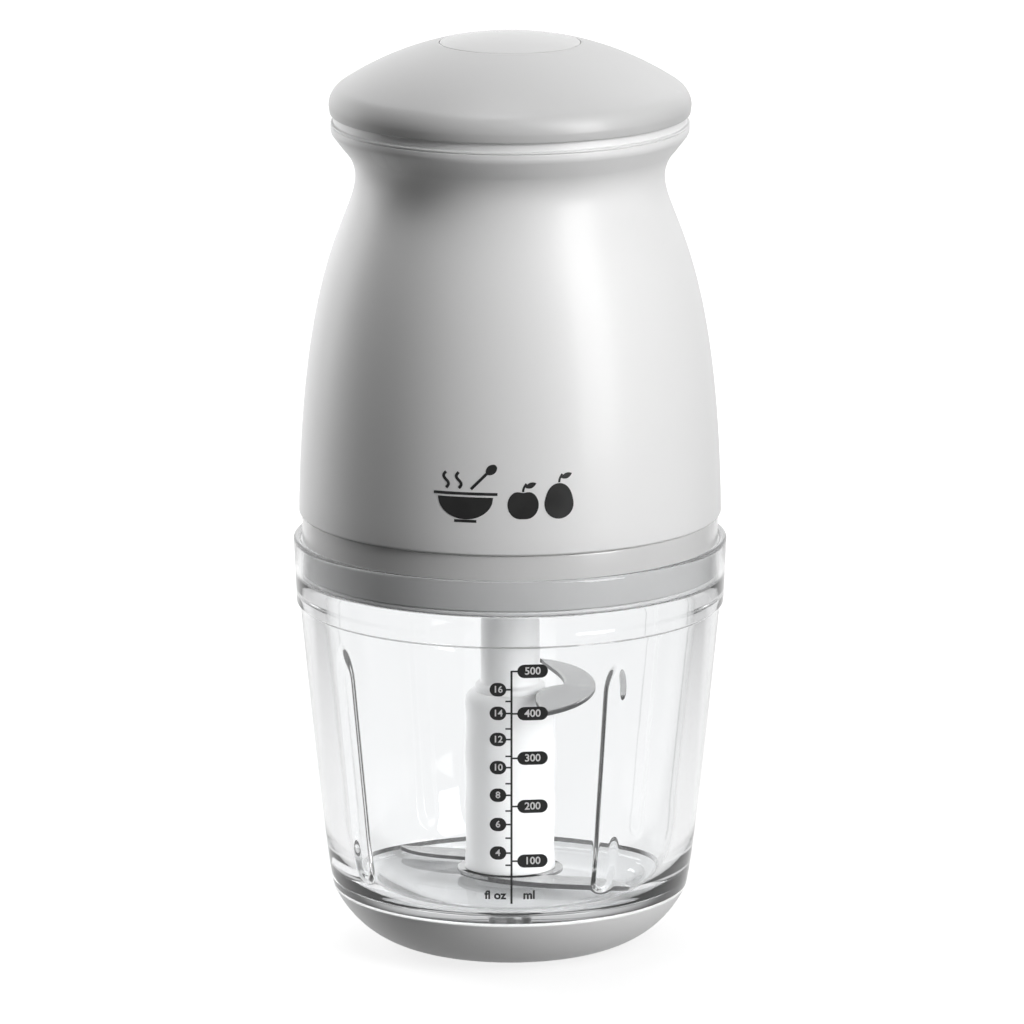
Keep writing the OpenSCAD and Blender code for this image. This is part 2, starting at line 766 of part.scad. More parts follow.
// ---- Motor unit: shell ----
module housing_section() {
    polygon(concat(bell_outer, flare(flare_r, flare_out_end),
        arc([lip_r - lip_round, neck_z + flare_r * sin(flare_out_end) + lip_round], lip_round,
            -60, 0, 3), [[lip_r, lip_z], [lip_in_r, lip_z]],
        reversed(flare(flare_r + housing_t, flare_in_end)), reversed(bell_inner)));
}

module boss_web(low, h, at, inner_r) translate([at, -web_t / 2, low])
    cube([inner_r - at + web_bury, web_t, h]);

module housing() color("white") {
    difference() {
        union() {
            rotate_extrude($fn = 96) housing_section();
            translate([0, pad_in, entry_z]) rotate([-90, 0, 0])
                cylinder(r = pad_r, h = pad_out - pad_in);
            for (i = [0:3]) rotate(45 + 90 * i) {
                translate([boss_at, 0, cover_top]) cylinder(r = boss_r, h = boss_h);
                boss_web(cover_top, boss_h, boss_at, bell_inner_r(cover_top + boss_h));
            }
            for (i = [0:2]) rotate(spider_turn + 120 * i) {
                translate([spider_at, 0, spider_z - spider_boss_h])
                    cylinder(r = slim_boss_r, h = spider_boss_h);
                boss_web(spider_z - spider_boss_h, spider_boss_h, spider_at,
                    bell_inner_r(spider_z));
            }
            around(3, collar_screw_at, 30) translate([0, 0, deck_z - collar_boss_h])
                cylinder(r = slim_boss_r, h = collar_boss_h);
        }
        translate([0, 0, entry_z]) rotate([-90, 0, 0]) cylinder(r = bush_neck_r, h = pad_out + 1);
        around(3, collar_screw_at, 30) translate([0, 0, deck_z - collar_boss_h + hole_floor_t])
            cylinder(r = screw_r + fit_gap, h = collar_boss_h, $fn = 24);
        around(4, boss_at, 45) translate([0, 0, cover_top - 1])
            cylinder(r = screw_r + fit_gap, h = boss_h - hole_floor_t, $fn = 24);
        around(3, spider_at, spider_turn) translate([0, 0, spider_z - spider_hole_h])
            cylinder(r = screw_r + fit_gap, h = spider_hole_h + 1, $fn = 24);
    }
}

module bottom_cover() color("gainsboro") {
    wall_r = bell_inner_r(cover_top) - fit_gap;
    difference() {
        union() {
            translate([0, 0, cover_z]) cylinder(r = cover_r, h = cover_floor_t, $fn = 96);
            translate([0, 0, cover_z]) tube(cover_r, cover_r - cover_wall_t, cover_top - cover_z);
            translate([0, 0, lid_top_z + cover_side_gap]) tube(wall_r, cover_r - cover_wall_t,
                cover_flange_t - cover_side_gap);
            around(4, boss_at, 45) {
                translate([0, 0, cover_z]) cylinder(r = wide_boss_r, h = cover_top - cover_z);
                translate([0, -web_t / 2, cover_z]) cube([cover_r - boss_at - cover_wall_t / 2,
                    web_t, cover_top - cover_z]);
            }
            for (s = [-1, 1]) translate([s * (board_w / 2 - board_edge) - post_w / 2,
                board_y - post_d / 2, cover_z]) cube([post_w, post_d,
                    board_low + slot_depth - cover_z]);
        }
        translate([0, 0, cover_z - 1]) cylinder(r = cover_hole_r, h = cover_floor_t + 2);
        around(4, boss_at, 45) translate([0, 0, cover_z - 1]) {
            cylinder(r = screw_head_r + head_gap, h = cover_screw_z - cover_z + 1, $fn = 32);
            cylinder(r = screw_r + fit_gap, h = cover_top - cover_z + 2, $fn = 24);
        }
        around(4, ear_at, 0) translate([0, 0, cover_z - 1]) {
            cylinder(r = screw_r + fit_gap, h = cover_floor_t + 2, $fn = 24);
            cylinder(r = screw_head_r + head_gap, h = ear_head_sink + 1, $fn = 32);
        }
        translate([-board_w / 2 - slide_gap, board_y - board_t / 2 - fit_gap, board_low])
            cube([board_w + 2 * slide_gap, board_t + 2 * fit_gap, slot_depth + 1]);
    }
}

module cover_screws() color("silver") around(4, boss_at, 45)
    translate([0, 0, cover_screw_z]) screw(cover_top + cover_screw_bite - cover_screw_z);

// ---- Motor unit: gearbox ----
module gear_case() color("lightslategray") {
    difference() {
        union() {
            translate([0, 0, cover_floor_top]) cylinder(r = gear_case_r, h = gear_cover_z
                - cover_floor_top, $fn = 96);
            around(4, ear_at, 0) translate([0, 0, cover_floor_top])
                cylinder(r = ear_r, h = ear_h + ear_foot_h);
            around(4, ear_at, 45) translate([0, 0, gear_cover_z - ear_h])
                cylinder(r = ear_r, h = ear_h);
        }
        translate([0, 0, cover_floor_top - 1]) cylinder(r = gear_case_r - gear_case_t,
            h = gear_skirt_h + 1);
        translate([0, 0, gear_plate_z - 1]) cylinder(r = output_r + output_bush_t,
            h = gear_plate_t + 2);
        translate([0, 0, gear_plate_z + gear_plate_t]) cylinder(r = ring_root_r + ring_relief,
            h = gear_z - gear_plate_z - gear_plate_t, $fn = 96);
        translate([0, 0, gear_z]) rotate(180 / ring_teeth)
            linear_extrude(gear_w + carrier_gap + 1) ring_space(ring_teeth);
        around(4, ear_at, 0) translate([0, 0, cover_floor_top - 1])
            cylinder(r = screw_r + fit_gap, h = ear_h + 2, $fn = 24);
        around(4, ear_at, 45) translate([0, 0, gear_cover_z - ear_h - 1])
            cylinder(r = screw_r + fit_gap, h = ear_h + 2, $fn = 24);
    }
}

module gear_case_screws() color("silver") {
    around(4, ear_at, 0) translate([0, 0, cover_z + ear_head_sink])
        screw(ear_h + cover_floor_t - ear_head_sink - head_gap);
    around(4, ear_at, 45) translate([0, 0, gear_cover_z + gear_cover_t]) rotate([180, 0, 0])
        screw(gear_cover_t + ear_h);
}

module output_bush() color("peru") translate([0, 0, gear_plate_z - output_lip_h]) {
    tube(output_r + output_bush_t, output_r + run_gap,
        gear_plate_t + output_lip_h + output_lip_top);
    tube(output_r + output_lip_w, output_r + output_bush_t / 2, output_lip_h);
}

module gear_cover() color("lightslategray") difference() {
    union() {
        translate([0, 0, gear_cover_z]) cylinder(r = gear_case_r, h = gear_cover_t, $fn = 96);
        around(4, ear_at, 45) translate([0, 0, gear_cover_z]) cylinder(r = ear_r, h = gear_cover_t);
    }
    translate([0, 0, gear_cover_z - 1]) cylinder(r = motor_shaft_r + shaft_hole_gap,
        h = gear_cover_t + 2);
    around(4, ear_at, 45) translate([0, 0, gear_cover_z - 1])
        cylinder(r = screw_r + fit_gap, h = gear_cover_t + 2, $fn = 24);
    around(2, bolt_at, 90) translate([0, 0, gear_cover_z - 1])
        cylinder(r = screw_r + fit_gap, h = gear_cover_t + 2, $fn = 24);
}

// ---- Motor unit: motor ----
module bracket_wall(low, h, window_z, window_h) {
    difference() {
        translate([0, 0, low]) tube(stator_r, stator_r - bracket_t, h);
        for (a = [0, 90]) rotate(45 + a) translate([-stator_r - 1, -window_w / 2, window_z])
            cube([2 * stator_r + 2, window_w, window_h]);
    }
}

module bracket_bolt_holes(low, h) around(2, bolt_at, 90) translate([0, 0, low])
    cylinder(r = screw_r + fit_gap, h = h, $fn = 24);

module lower_bracket() color("lightslategray") difference() {
    union() {
        bracket_wall(motor_z, bracket_low_h, motor_z + plate_t + 1,
            bracket_low_h - plate_t - window_low);
        translate([0, 0, motor_z]) cylinder(r = stator_r, h = plate_t);
        translate([0, 0, motor_z]) cylinder(r = bearing_r + bearing_wall_t,
            h = plate_t + bearing_w - bearing_sink);
    }
    translate([0, 0, motor_z - 1]) cylinder(r = motor_shaft_r + shaft_hole_gap, h = plate_t + 2);
    translate([0, 0, motor_z + plate_t - bearing_sink]) cylinder(r = bearing_r,
        h = bearing_w + 1);
    bracket_bolt_holes(motor_z - 1, bracket_low_h + 2);
}

module upper_bracket() color("lightslategray") {
    seat = bracket_top - plate_t;
    difference() {
        union() {
            bracket_wall(stack_top, bracket_top - stack_top, stack_top + window_low,
                bracket_top - stack_top - plate_t - window_top);
            translate([0, 0, seat]) cylinder(r = stator_r, h = plate_t);
            translate([0, 0, bracket_top]) cylinder(r = bearing_r + bearing_wall_t,
                h = bearing_w - bearing_sink);
        }
        translate([0, 0, seat - 1]) cylinder(r = motor_shaft_r + shaft_hole_gap,
            h = plate_t + bearing_w);
        translate([0, 0, bracket_top - bearing_sink]) cylinder(r = bearing_r,
            h = plate_t + bearing_w);
        bracket_bolt_holes(stack_top - 1, bracket_top - stack_top + 2);
        for (s = [-1, 1]) translate([s * (stator_r - bracket_t / 2), 0, brush_z])
            cube([bracket_t + 2, holder_w, holder_w], center = true);
    }
}

module bracket_screws() color("silver") around(2, bolt_at, 90)
    translate([0, 0, bracket_top]) rotate([180, 0, 0]) screw(bracket_top - gear_cover_z, screw_r);

module ball_bearing(low) translate([0, 0, low]) {
    ball_r = (bearing_r - motor_shaft_r) / 2 - race_t + race_groove;
    difference() {
        tube(bearing_r, bearing_r - race_t, bearing_w);
        translate([0, 0, bearing_w / 2]) rotate_extrude() translate([(bearing_r + motor_shaft_r
            + run_gap) / 2, 0]) circle(r = ball_r, $fn = 24);
    }
    difference() {
        tube(motor_shaft_r + run_gap + race_t, motor_shaft_r + run_gap, bearing_w);
        translate([0, 0, bearing_w / 2]) rotate_extrude() translate([(bearing_r + motor_shaft_r
            + run_gap) / 2, 0]) circle(r = ball_r, $fn = 24);
    }
    around(ball_count, (bearing_r + motor_shaft_r + run_gap) / 2)
        translate([0, 0, bearing_w / 2]) sphere(r = ball_r - ball_gap, $fn = 24);
}

module lower_bearing() color("silver") ball_bearing(motor_z + plate_t - bearing_sink);

module upper_bearing() color("silver") ball_bearing(bracket_top - bearing_sink);

module stator_core() color("darkgray") {
    pole_r = rotor_r + air_gap;
    translate([0, 0, stack_z]) linear_extrude(stack_h) difference() {
        union() {
            difference() {
                circle(r = stator_r, $fn = 96);
                circle(r = stator_r - yoke_t, $fn = 96);
            }
            difference() {
                union() {
                    square([2 * stator_r - yoke_t, pole_w], center = true);
                    intersection() {
                        circle(r = pole_r + shoe_t);
                        for (s = [0, 180]) rotate(s) polygon([[0, 0],
                            2 * pole_r * [cos(shoe_half_angle), -sin(shoe_half_angle)],
                            [3 * pole_r, 0],
                            2 * pole_r * [cos(shoe_half_angle), sin(shoe_half_angle)]]);
                    }
                }
                circle(r = pole_r);
            }
        }
        around(2, bolt_at, 90) circle(r = screw_r + fit_gap, $fn = 24);
    }
}

module field_coils() color("chocolate") for (s = [0, 180]) rotate(s)
    translate([rotor_r + air_gap + coil_out, 0, stack_z + stack_h / 2]) difference() {
        translate([0, -pole_w / 2 - coil_w, -stack_h / 2 - coil_w])
            cube([coil_t, pole_w + 2 * coil_w, stack_h + 2 * coil_w]);
        translate([-1, -pole_w / 2 - coil_gap, -stack_h / 2 - coil_gap])
            cube([coil_t + 2, pole_w + 2 * coil_gap, stack_h + 2 * coil_gap]);
    }

module brush_holders() color("goldenrod") {
    inner = commutator_r + holder_space;
    brush_hole_w = brush_w + 2 * fit_gap;
    for (s = [0, 180]) rotate(s) translate([inner, 0, brush_z]) difference() {
        translate([0, -holder_w / 2, -holder_w / 2]) cube([stator_r - holder_end - inner,
            holder_w, holder_w]);
        translate([-1, -brush_hole_w / 2, -brush_hole_w / 2])
            cube([stator_r - inner - 1, brush_hole_w, brush_hole_w]);
    }
}

module carbon_brushes() color("dimgray") for (s = [0, 180]) rotate(s)
    translate([commutator_r + brush_gap, -brush_w / 2, brush_z - brush_w / 2])
        cube([brush_len, brush_w, brush_w]);

module motor_spider() color("dimgray") difference() {
    union() {
        translate([0, 0, spider_z]) tube(stator_r + spider_hub_t, stator_r + fit_gap, spider_t);
        for (i = [0:2]) rotate(spider_turn + 120 * i) {
            translate([stator_r + spider_hub_t / 2, -spider_arm_w / 2, spider_z])
                cube([spider_at - stator_r - spider_hub_t / 2, spider_arm_w, spider_t]);
            translate([spider_at, 0, spider_z]) cylinder(r = wide_boss_r, h = spider_t);
        }
    }
    around(3, spider_at, spider_turn) translate([0, 0, spider_z - 1])
        cylinder(r = screw_r + fit_gap, h = spider_t + 2, $fn = 24);
}

module spider_screws() color("silver") around(3, spider_at, spider_turn)
    translate([0, 0, spider_z + spider_t]) rotate([180, 0, 0]) screw(spider_screw_len);

// ---- Motor unit: electrics ----
module circuit_board() color("darkgreen") difference() {
    translate([-board_w / 2, board_y - board_t / 2, board_low]) cube([board_w, board_t, board_h]);
    for (s = [-1, 1]) translate([s * lead_x, board_y - board_t, board_low + board_h
        - lead_hole_drop]) rotate([-90, 0, 0]) cylinder(r = lead_hole_r, h = 2 * board_t, $fn = 24);
}

module suppressor() color("gold") translate([-suppressor_size[0] / 2,
    board_y - board_t / 2 - suppressor_size[1], board_low + suppressor_lift])
        cube(suppressor_size);

module cord_bush() color("dimgray") {
    wall = pad_out - pad_in;
    translate([0, pad_in - bush_lip, entry_z]) rotate([-90, 0, 0]) {
        tube(bush_neck_r, cord_bore_r, bush_lip + wall);
        tube(bush_neck_r + bush_lip, cord_bore_r, bush_lip);
        translate([0, 0, bush_lip + wall]) tube(bush_neck_r + bush_lip, cord_bore_r, bush_lip);
        translate([0, 0, 2 * bush_lip + wall]) tube(bush_neck_r - bush_nose_t, cord_bore_r,
            bush_nose);
    }
}

// A round skin swept along points; sweep_side is a direction that the path never takes
module sweep(path, radius, sides, sweep_side = [1, 0, 0]) {
    last = len(path) - 1;
    points = [for (i = [0:last]) let (t = path[min(i + 1, last)] - path[max(i - 1, 0)],
        u = cross(t, sweep_side) / norm(cross(t, sweep_side)), v = cross(t, u) / norm(t))
        for (k = [0:sides - 1]) let (a = 360 * k / sides)
            path[i] + radius * (cos(a) * u + sin(a) * v)];
    polyhedron(points, concat([[for (k = [0:sides - 1]) k]],
        [[for (k = [sides - 1:-1:0]) last * sides + k]],
        [for (i = [0:last - 1]) for (k = [0:sides - 1]) let (n = (k + 1) % sides)
            [i * sides + n, i * sides + k, (i + 1) * sides + k, (i + 1) * sides + n]]));
}

// Two leads from the circuit board up past the fan to the switch
module internal_leads() color("firebrick") {
    board_top = board_low + board_h;
    spider_top = spider_z + spider_t;
    top_z = switch_z + switch_lead_h;
    for (x = [-lead_x, lead_x]) sweep(concat(
        bezier([x, board_y, board_top], [x, board_y, spider_top + lead_bend],
            [x, lead_y, spider_top], [x, lead_y, fan_z - 2 * lead_r], 8),
        bezier([x, lead_y, fan_z], [x, lead_y, top_z], [x, lead_y, top_z],
            [x, switch_size[1] / 2, top_z], 8)), lead_r, 8);
}

module switch_body() color("black") difference() {
    translate([-switch_size[0] / 2, -switch_size[1] / 2, switch_z]) cube(switch_size);
    translate([0, 0, deck_z - plunger_h]) cylinder(r = plunger_r + run_gap, h = plunger_h + 1);
}

// ---- Motor unit: top ----
module deck_holes(low, h) {
    translate([0, 0, low]) cylinder(r = post_r + slide_gap, h = h);
    around(spring_count, spring_at, 90) translate([0, 0, low])
        cylinder(r = guide_pin_r + slide_gap, h = h, $fn = 32);
}

module guide_collar() color("white") {
    difference() {
        union() {
            translate([0, 0, lip_z]) cylinder(r = lip_r, h = flange_t, $fn = 96);
            translate([0, 0, deck_z]) cylinder(r = lip_in_r - fit_gap, h = deck_t + tiny,
                $fn = 96);
            translate([0, 0, flange_top - tiny]) tube(guide_r, guide_r - guide_t, guide_h + tiny);
        }
        translate([0, 0, deck_z + deck_t]) cylinder(r = guide_r - guide_t - lip_seat_w,
            h = flange_t + 1);
        deck_holes(deck_z - 1, deck_t + 2);
        around(3, collar_screw_at, 30) translate([0, 0, deck_z - 1])
            cylinder(r = screw_r + fit_gap, h = deck_t + 2, $fn = 24);
    }
}

module collar_screws() color("silver") around(3, collar_screw_at, 30)
    translate([0, 0, deck_z + deck_t]) rotate([180, 0, 0]) screw(collar_screw_len);

// ---- Rotating parts ----
module motor_shaft() color("silver") translate([0, 0, gear_z + sun_gap])
    cylinder(r = motor_shaft_r, h = shaft_top - gear_z - sun_gap);

module rotor_core() color("darkgray") translate([0, 0, stack_z]) linear_extrude(stack_h)
    difference() {
        circle(r = rotor_r);
        circle(r = motor_shaft_r);
        around(slot_count, rotor_r - slot_in) translate([0, -slot_w / 2])
            square([slot_in + 1, slot_w]);
    }

module rotor_windings() color("chocolate") {
    wind_r = rotor_r - winding_in;
    translate([0, 0, stack_z - winding_h]) tube(wind_r, motor_shaft_r, winding_h);
    translate([0, 0, stack_top]) tube(wind_r, motor_shaft_r, winding_h);
    around(slot_count, rotor_r - wire_in) translate([0, -wire_w / 2, stack_z - tiny])
        cube([wire_d, wire_w, stack_h + 2 * tiny]);
}

module commutator() color("peru") translate([0, 0, commutator_z - commutator_foot])
    linear_extrude(commutator_h + commutator_foot) difference() {
        circle(r = commutator_r);
        circle(r = motor_shaft_r);
        around(slot_count, commutator_r - commutator_cut, 180 / slot_count)
            translate([0, -commutator_cut_w / 2]) square([commutator_cut + 1, commutator_cut_w]);
    }

module cooling_fan() color("whitesmoke") translate([0, 0, fan_z]) {
    tube(fan_r, motor_shaft_r, fan_disc_t);
    tube(fan_hub_r, motor_shaft_r, fan_h);
    around(fan_blades, fan_hub_r + fan_blade_in) rotate(-fan_blade_turn)
        translate([0, -fan_blade_t / 2, 0])
            cube([(fan_r - fan_hub_r) * fan_blade_share, fan_blade_t, fan_h]);
}

module sun_gear() color("silver") translate([0, 0, gear_z + sun_gap])
    linear_extrude(gear_w - 2 * sun_gap) difference() {
        outer_gear(sun_teeth);
        circle(r = motor_shaft_r);
    }

// Planet i sits at 120 i degrees; its turn puts a space on the sun's tooth there
module planet_gear(i) color("ivory") {
    turn = 120 * i + 180 - (0.5 - 120 * i * sun_teeth / 360) * 360 / planet_teeth;
    rotate(120 * i) translate([orbit_r, 0, gear_z + gear_end_gap]) rotate(turn - 120 * i)
        linear_extrude(gear_w - 2 * gear_end_gap) difference() {
            outer_gear(planet_teeth);
            circle(r = planet_pin_r + run_gap);
        }
}

module planet_gear_1() planet_gear(0);
module planet_gear_2() planet_gear(1);
module planet_gear_3() planet_gear(2);

module planet_carrier() color("slategray") difference() {
    union() {
        translate([0, 0, carrier_z]) cylinder(r = orbit_r + planet_pin_r + carrier_rim,
            h = carrier_t);
        translate([0, 0, dog_z + dog_h]) cylinder(r = output_r, h = carrier_z - dog_z - dog_h);
    }
    around(3, orbit_r) translate([0, 0, carrier_z - 1])
        cylinder(r = planet_pin_r, h = carrier_t + 2);
}

module planet_pins() color("silver") around(3, orbit_r) translate([0, 0, carrier_z])
    cylinder(r = planet_pin_r, h = gear_top - carrier_z);

module drive_dog() color("silver") translate([0, 0, dog_z])
    cylinder(r = hex_r, h = dog_h, $fn = 6);

module switch_plunger() color("firebrick") translate([0, 0, plunger_top - plunger_h])
    cylinder(r = plunger_r, h = plunger_h);

// ---- Button ----
module button_section() {
    edge_mid = [button_r - button_edge_r, edge_z];
    edge_turn = acos(edge_mid[0] / (crown_r - button_edge_r));
    inlay_hole_r = inlay_r + inlay_gap;
    polygon(concat(crown_arc(crown_r - inlay_t - inlay_sink, inlay_hole_r, 0),
        crown_arc(crown_r, crown_r * cos(edge_turn), inlay_hole_r),
        arc(edge_mid, button_edge_r, edge_turn, 0, 6),
        [[button_r - skirt_edge, skirt_z], [skirt_in_r, skirt_z]],
        arc(edge_mid, inner_edge_r, 0, edge_turn - 8, 5),
        reversed(crown_arc(inner_crown_r, edge_mid[0], 0))));
}

module button_cap() color("gainsboro") {
    boss_out_r = spring_r + spring_boss_t;
    boss_reach = spring_at + boss_out_r + crown_bury;
    guide_top = deck_z + deck_t + button_travel + guide_play;
    crown_top = crown_z(0, crown_r);
    difference() {
        union() {
            rotate_extrude($fn = 96) button_section();
            intersection() {
                union() {
                    around(spring_count, spring_at, 90) {
                        translate([0, 0, spring_boss_z]) cylinder(r = boss_out_r,
                            h = crown_top - spring_boss_z);
                        translate([0, 0, guide_top]) cylinder(r = guide_pin_r + guide_boss_t,
                            h = crown_top - guide_top);
                    }
                    translate([0, 0, plunger_top + post_gap]) cylinder(r = post_r,
                        h = crown_top - plunger_top - post_gap);
                }
                rotate_extrude($fn = 96) polygon(concat([[0, deck_z], [boss_reach, deck_z]],
                    reversed(crown_arc(inner_crown_r + crown_bury, boss_reach, 0))));
            }
        }
        around(spring_count, spring_at, 90) translate([0, 0, deck_z])
            cylinder(r = screw_r + fit_gap, h = guide_hole_h, $fn = 24);
    }
}

module button_inlay() color("silver") rotate_extrude($fn = 96) polygon(concat(
    crown_arc(crown_r - inlay_t - inlay_sink, inlay_r, 0),
    reversed(crown_arc(crown_r - inlay_sink, inlay_r, 0))));

// Shoulder screws from below: the shoulder slides in the deck and the head stops the button
module button_screws() color("silver") around(spring_count, spring_at, 90) {
    shoulder = deck_t + button_travel + guide_play;
    translate([0, 0, deck_z]) screw(shoulder + guide_screw_bite);
    translate([0, 0, deck_z]) cylinder(r = guide_pin_r, h = shoulder, $fn = 32);
}

// A helical wire
module spring(radius, wire_radius, low, high, turns) {
    steps = 12 * turns;
    rise = (high - low - 2.2 * wire_radius) / steps;
    sweep([for (i = [0:steps]) [radius * cos(30 * i), radius * sin(30 * i),
        low + 1.1 * wire_radius + rise * i]], wire_radius, 6, [0, 0, 1]);
}

module return_springs() color("silver") around(spring_count, spring_at, 90)
    spring(spring_r, spring_wire_r, deck_z + deck_t, spring_boss_z, spring_turns);

base_boot();
glass_bowl();
pivot_pin();
hub_core();
hub_sleeve();
hub_bush();
drive_socket();
lower_blade();
upper_blade();
blade_retainer();
lid();
lid_seal();
lid_bush();
housing();
bottom_cover();
cover_screws();
gear_case();
gear_case_screws();
output_bush();
gear_cover();
lower_bracket();
upper_bracket();
bracket_screws();
lower_bearing();
upper_bearing();
stator_core();
field_coils();
brush_holders();
carbon_brushes();
motor_spider();
spider_screws();
circuit_board();
suppressor();
cord_bush();
guide_collar();
collar_screws();
switch_body();
internal_leads();
motor_shaft();
rotor_core();
rotor_windings();
commutator();
cooling_fan();
sun_gear();
planet_carrier();
planet_pins();
drive_dog();
planet_gear_1();
planet_gear_2();
planet_gear_3();
switch_plunger();
button_cap();
button_inlay();
button_screws();
return_springs();
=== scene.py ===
"""Looks of the press-top baby food maker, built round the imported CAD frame.

Order: sizes read from the frame, camera and stage, shape helpers, finishes, then one
section for each group of pieces. Metres, +Z up, the bowl's printed scale faces -Y.
"""
import json
import math

import bmesh
import bpy
from mathutils import Matrix, Vector


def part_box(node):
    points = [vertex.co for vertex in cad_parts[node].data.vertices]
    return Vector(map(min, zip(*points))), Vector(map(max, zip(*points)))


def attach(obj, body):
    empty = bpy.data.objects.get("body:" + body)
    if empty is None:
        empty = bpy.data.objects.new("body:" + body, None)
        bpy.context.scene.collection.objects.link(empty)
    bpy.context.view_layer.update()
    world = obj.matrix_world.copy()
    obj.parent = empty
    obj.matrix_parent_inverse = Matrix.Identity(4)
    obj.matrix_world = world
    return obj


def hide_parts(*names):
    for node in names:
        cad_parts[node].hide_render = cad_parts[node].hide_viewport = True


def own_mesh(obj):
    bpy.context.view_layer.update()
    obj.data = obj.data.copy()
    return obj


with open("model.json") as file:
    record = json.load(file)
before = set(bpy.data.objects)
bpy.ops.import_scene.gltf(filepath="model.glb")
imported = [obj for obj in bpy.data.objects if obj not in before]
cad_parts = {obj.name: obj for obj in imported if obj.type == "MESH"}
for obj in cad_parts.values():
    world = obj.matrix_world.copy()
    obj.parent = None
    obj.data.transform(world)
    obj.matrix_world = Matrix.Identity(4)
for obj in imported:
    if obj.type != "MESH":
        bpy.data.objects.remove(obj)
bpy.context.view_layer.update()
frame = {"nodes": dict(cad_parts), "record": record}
MM = 0.001

# ---------------------------------------------------------------- sizes from the frame
rim_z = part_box("glass_bowl")[1].z
rim_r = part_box("glass_bowl")[1].x
boot_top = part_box("base_boot")[1].z
boot_rim_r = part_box("base_boot")[1].x
seat_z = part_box("lid_seal")[0].z
seal_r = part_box("lid_seal")[1].x
seal_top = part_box("lid_seal")[1].z
lid_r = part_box("lid")[1].x
lid_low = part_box("lid")[0].z
lid_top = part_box("lid")[1].z
housing_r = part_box("housing")[1].x
lip_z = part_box("housing")[1].z
lip_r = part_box("guide_collar")[1].x
deck_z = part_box("guide_collar")[0].z
guide_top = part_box("guide_collar")[1].z
button_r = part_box("button_cap")[1].x
inlay_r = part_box("button_inlay")[1].x
floor_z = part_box("lower_blade")[0].z - 2.2 * MM
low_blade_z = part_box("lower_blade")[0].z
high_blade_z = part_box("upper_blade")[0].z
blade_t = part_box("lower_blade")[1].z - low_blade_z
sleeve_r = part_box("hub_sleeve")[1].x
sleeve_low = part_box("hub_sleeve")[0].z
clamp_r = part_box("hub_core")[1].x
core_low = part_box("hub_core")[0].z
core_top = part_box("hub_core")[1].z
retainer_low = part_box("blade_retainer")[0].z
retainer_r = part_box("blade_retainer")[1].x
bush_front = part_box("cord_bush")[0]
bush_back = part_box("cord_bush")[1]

SEAT_R = rim_r - 2.2 * MM          # inside of the rim, beside the lid
SEAT_IN_R = SEAT_R - 4.9 * MM      # inner edge of the lid's seat
COLLAR_Z = rim_z - 19.3 * MM       # foot of the bowl's thick collar
COLLAR_FOOT_R = rim_r - 0.8 * MM
COLLAR_STEP = 0.95 * MM
FLOOR_R = SEAT_IN_R - 9.4 * MM     # where the inner wall would meet the floor
FOOT_OUT, FOOT_UP = 9.4 * MM, 28 * MM  # the curve between the inner wall and the floor
RIB_COUNT, RIB_FIRST = 4, math.radians(33)
RIB_W, RIB_H = 8 * MM, 1.05 * MM
RIB_LOW, RIB_TOP = 23 * MM, 92 * MM
SHAFT_R = 8.4 * MM
NECK_R, NECK_Z = 43.2 * MM, lip_z - 13.8 * MM
FLARE_R, FLARE_END = 11 * MM, 44     # the lip's flare and how many degrees it turns through
WALL_T = 2.8 * MM
FLANGE_T = 1.4 * MM
GUIDE_R = lip_r - 1 * MM
LIP_TOP = lip_z + 0.7 * MM           # parting line between the housing and its collar
SKIRT_Z = lip_z + FLANGE_T + 2.4 * MM
EDGE_Z = lip_z + FLANGE_T + 4.7 * MM
EDGE_R = 6.65 * MM
CROWN_R = 86 * MM
LOW_REACH, HIGH_REACH = 41.3 * MM, 33.4 * MM
RING_R = 15 * MM
SPIGOT_R = 7 * MM
CORD_BORE_R, BUSH_NECK_R = 3.6 * MM, 6.5 * MM

def add_object(name, data):
    """Puts an object with the given data in the scene."""
    made = bpy.data.objects.new(name, data)
    bpy.context.scene.collection.objects.link(made)
    return made


# ---------------------------------------------------------------- camera
IMAGE_PX, FOCAL_PX = 1024, 8753
CAMERA_AT, CAMERA_DIP = (0.54 * MM, -2.400, 0.660), 12.61
camera_data = bpy.data.cameras.new("studio_camera")
camera_data.sensor_width = 36
camera_data.lens = camera_data.sensor_width * FOCAL_PX / IMAGE_PX
camera_data.clip_end = 50
camera = add_object("studio_camera", camera_data)
camera.matrix_world = Matrix.Translation(CAMERA_AT) @ Matrix.Rotation(math.radians(90 - CAMERA_DIP), 4, "X")
bpy.context.scene.camera = camera
bpy.context.scene.view_settings.view_transform = "Standard"


# ---------------------------------------------------------------- node helpers
def feed(tree, value, socket):
    """Links a socket to an input, or sets the input to a plain value."""
    if isinstance(value, bpy.types.NodeSocket):
        tree.links.new(value, socket)
    else:
        socket.default_value = value


def node(tree, kind, settings=None, **inputs):
    """Adds a node, sets its properties, and links or sets its inputs by name (spaces as _)."""
    made = tree.nodes.new(kind)
    for key, value in (settings or {}).items():
        setattr(made, key, value)
    for key, value in inputs.items():
        feed(tree, value, made.inputs[int(key[1:]) if key[1:].isdigit() else key.replace("_", " ")])
    return made


def maths(tree, operation, *values):
    """A Math node's result; values are sockets or numbers."""
    made = tree.nodes.new("ShaderNodeMath")
    made.operation = operation
    for socket, value in zip(made.inputs, values):
        feed(tree, value, socket)
    return made.outputs[0]


def plus(tree, a, b):
    return maths(tree, "ADD", a, b)


def minus(tree, a, b):
    return maths(tree, "SUBTRACT", a, b)


def times(tree, a, b):
    return maths(tree, "MULTIPLY", a, b)


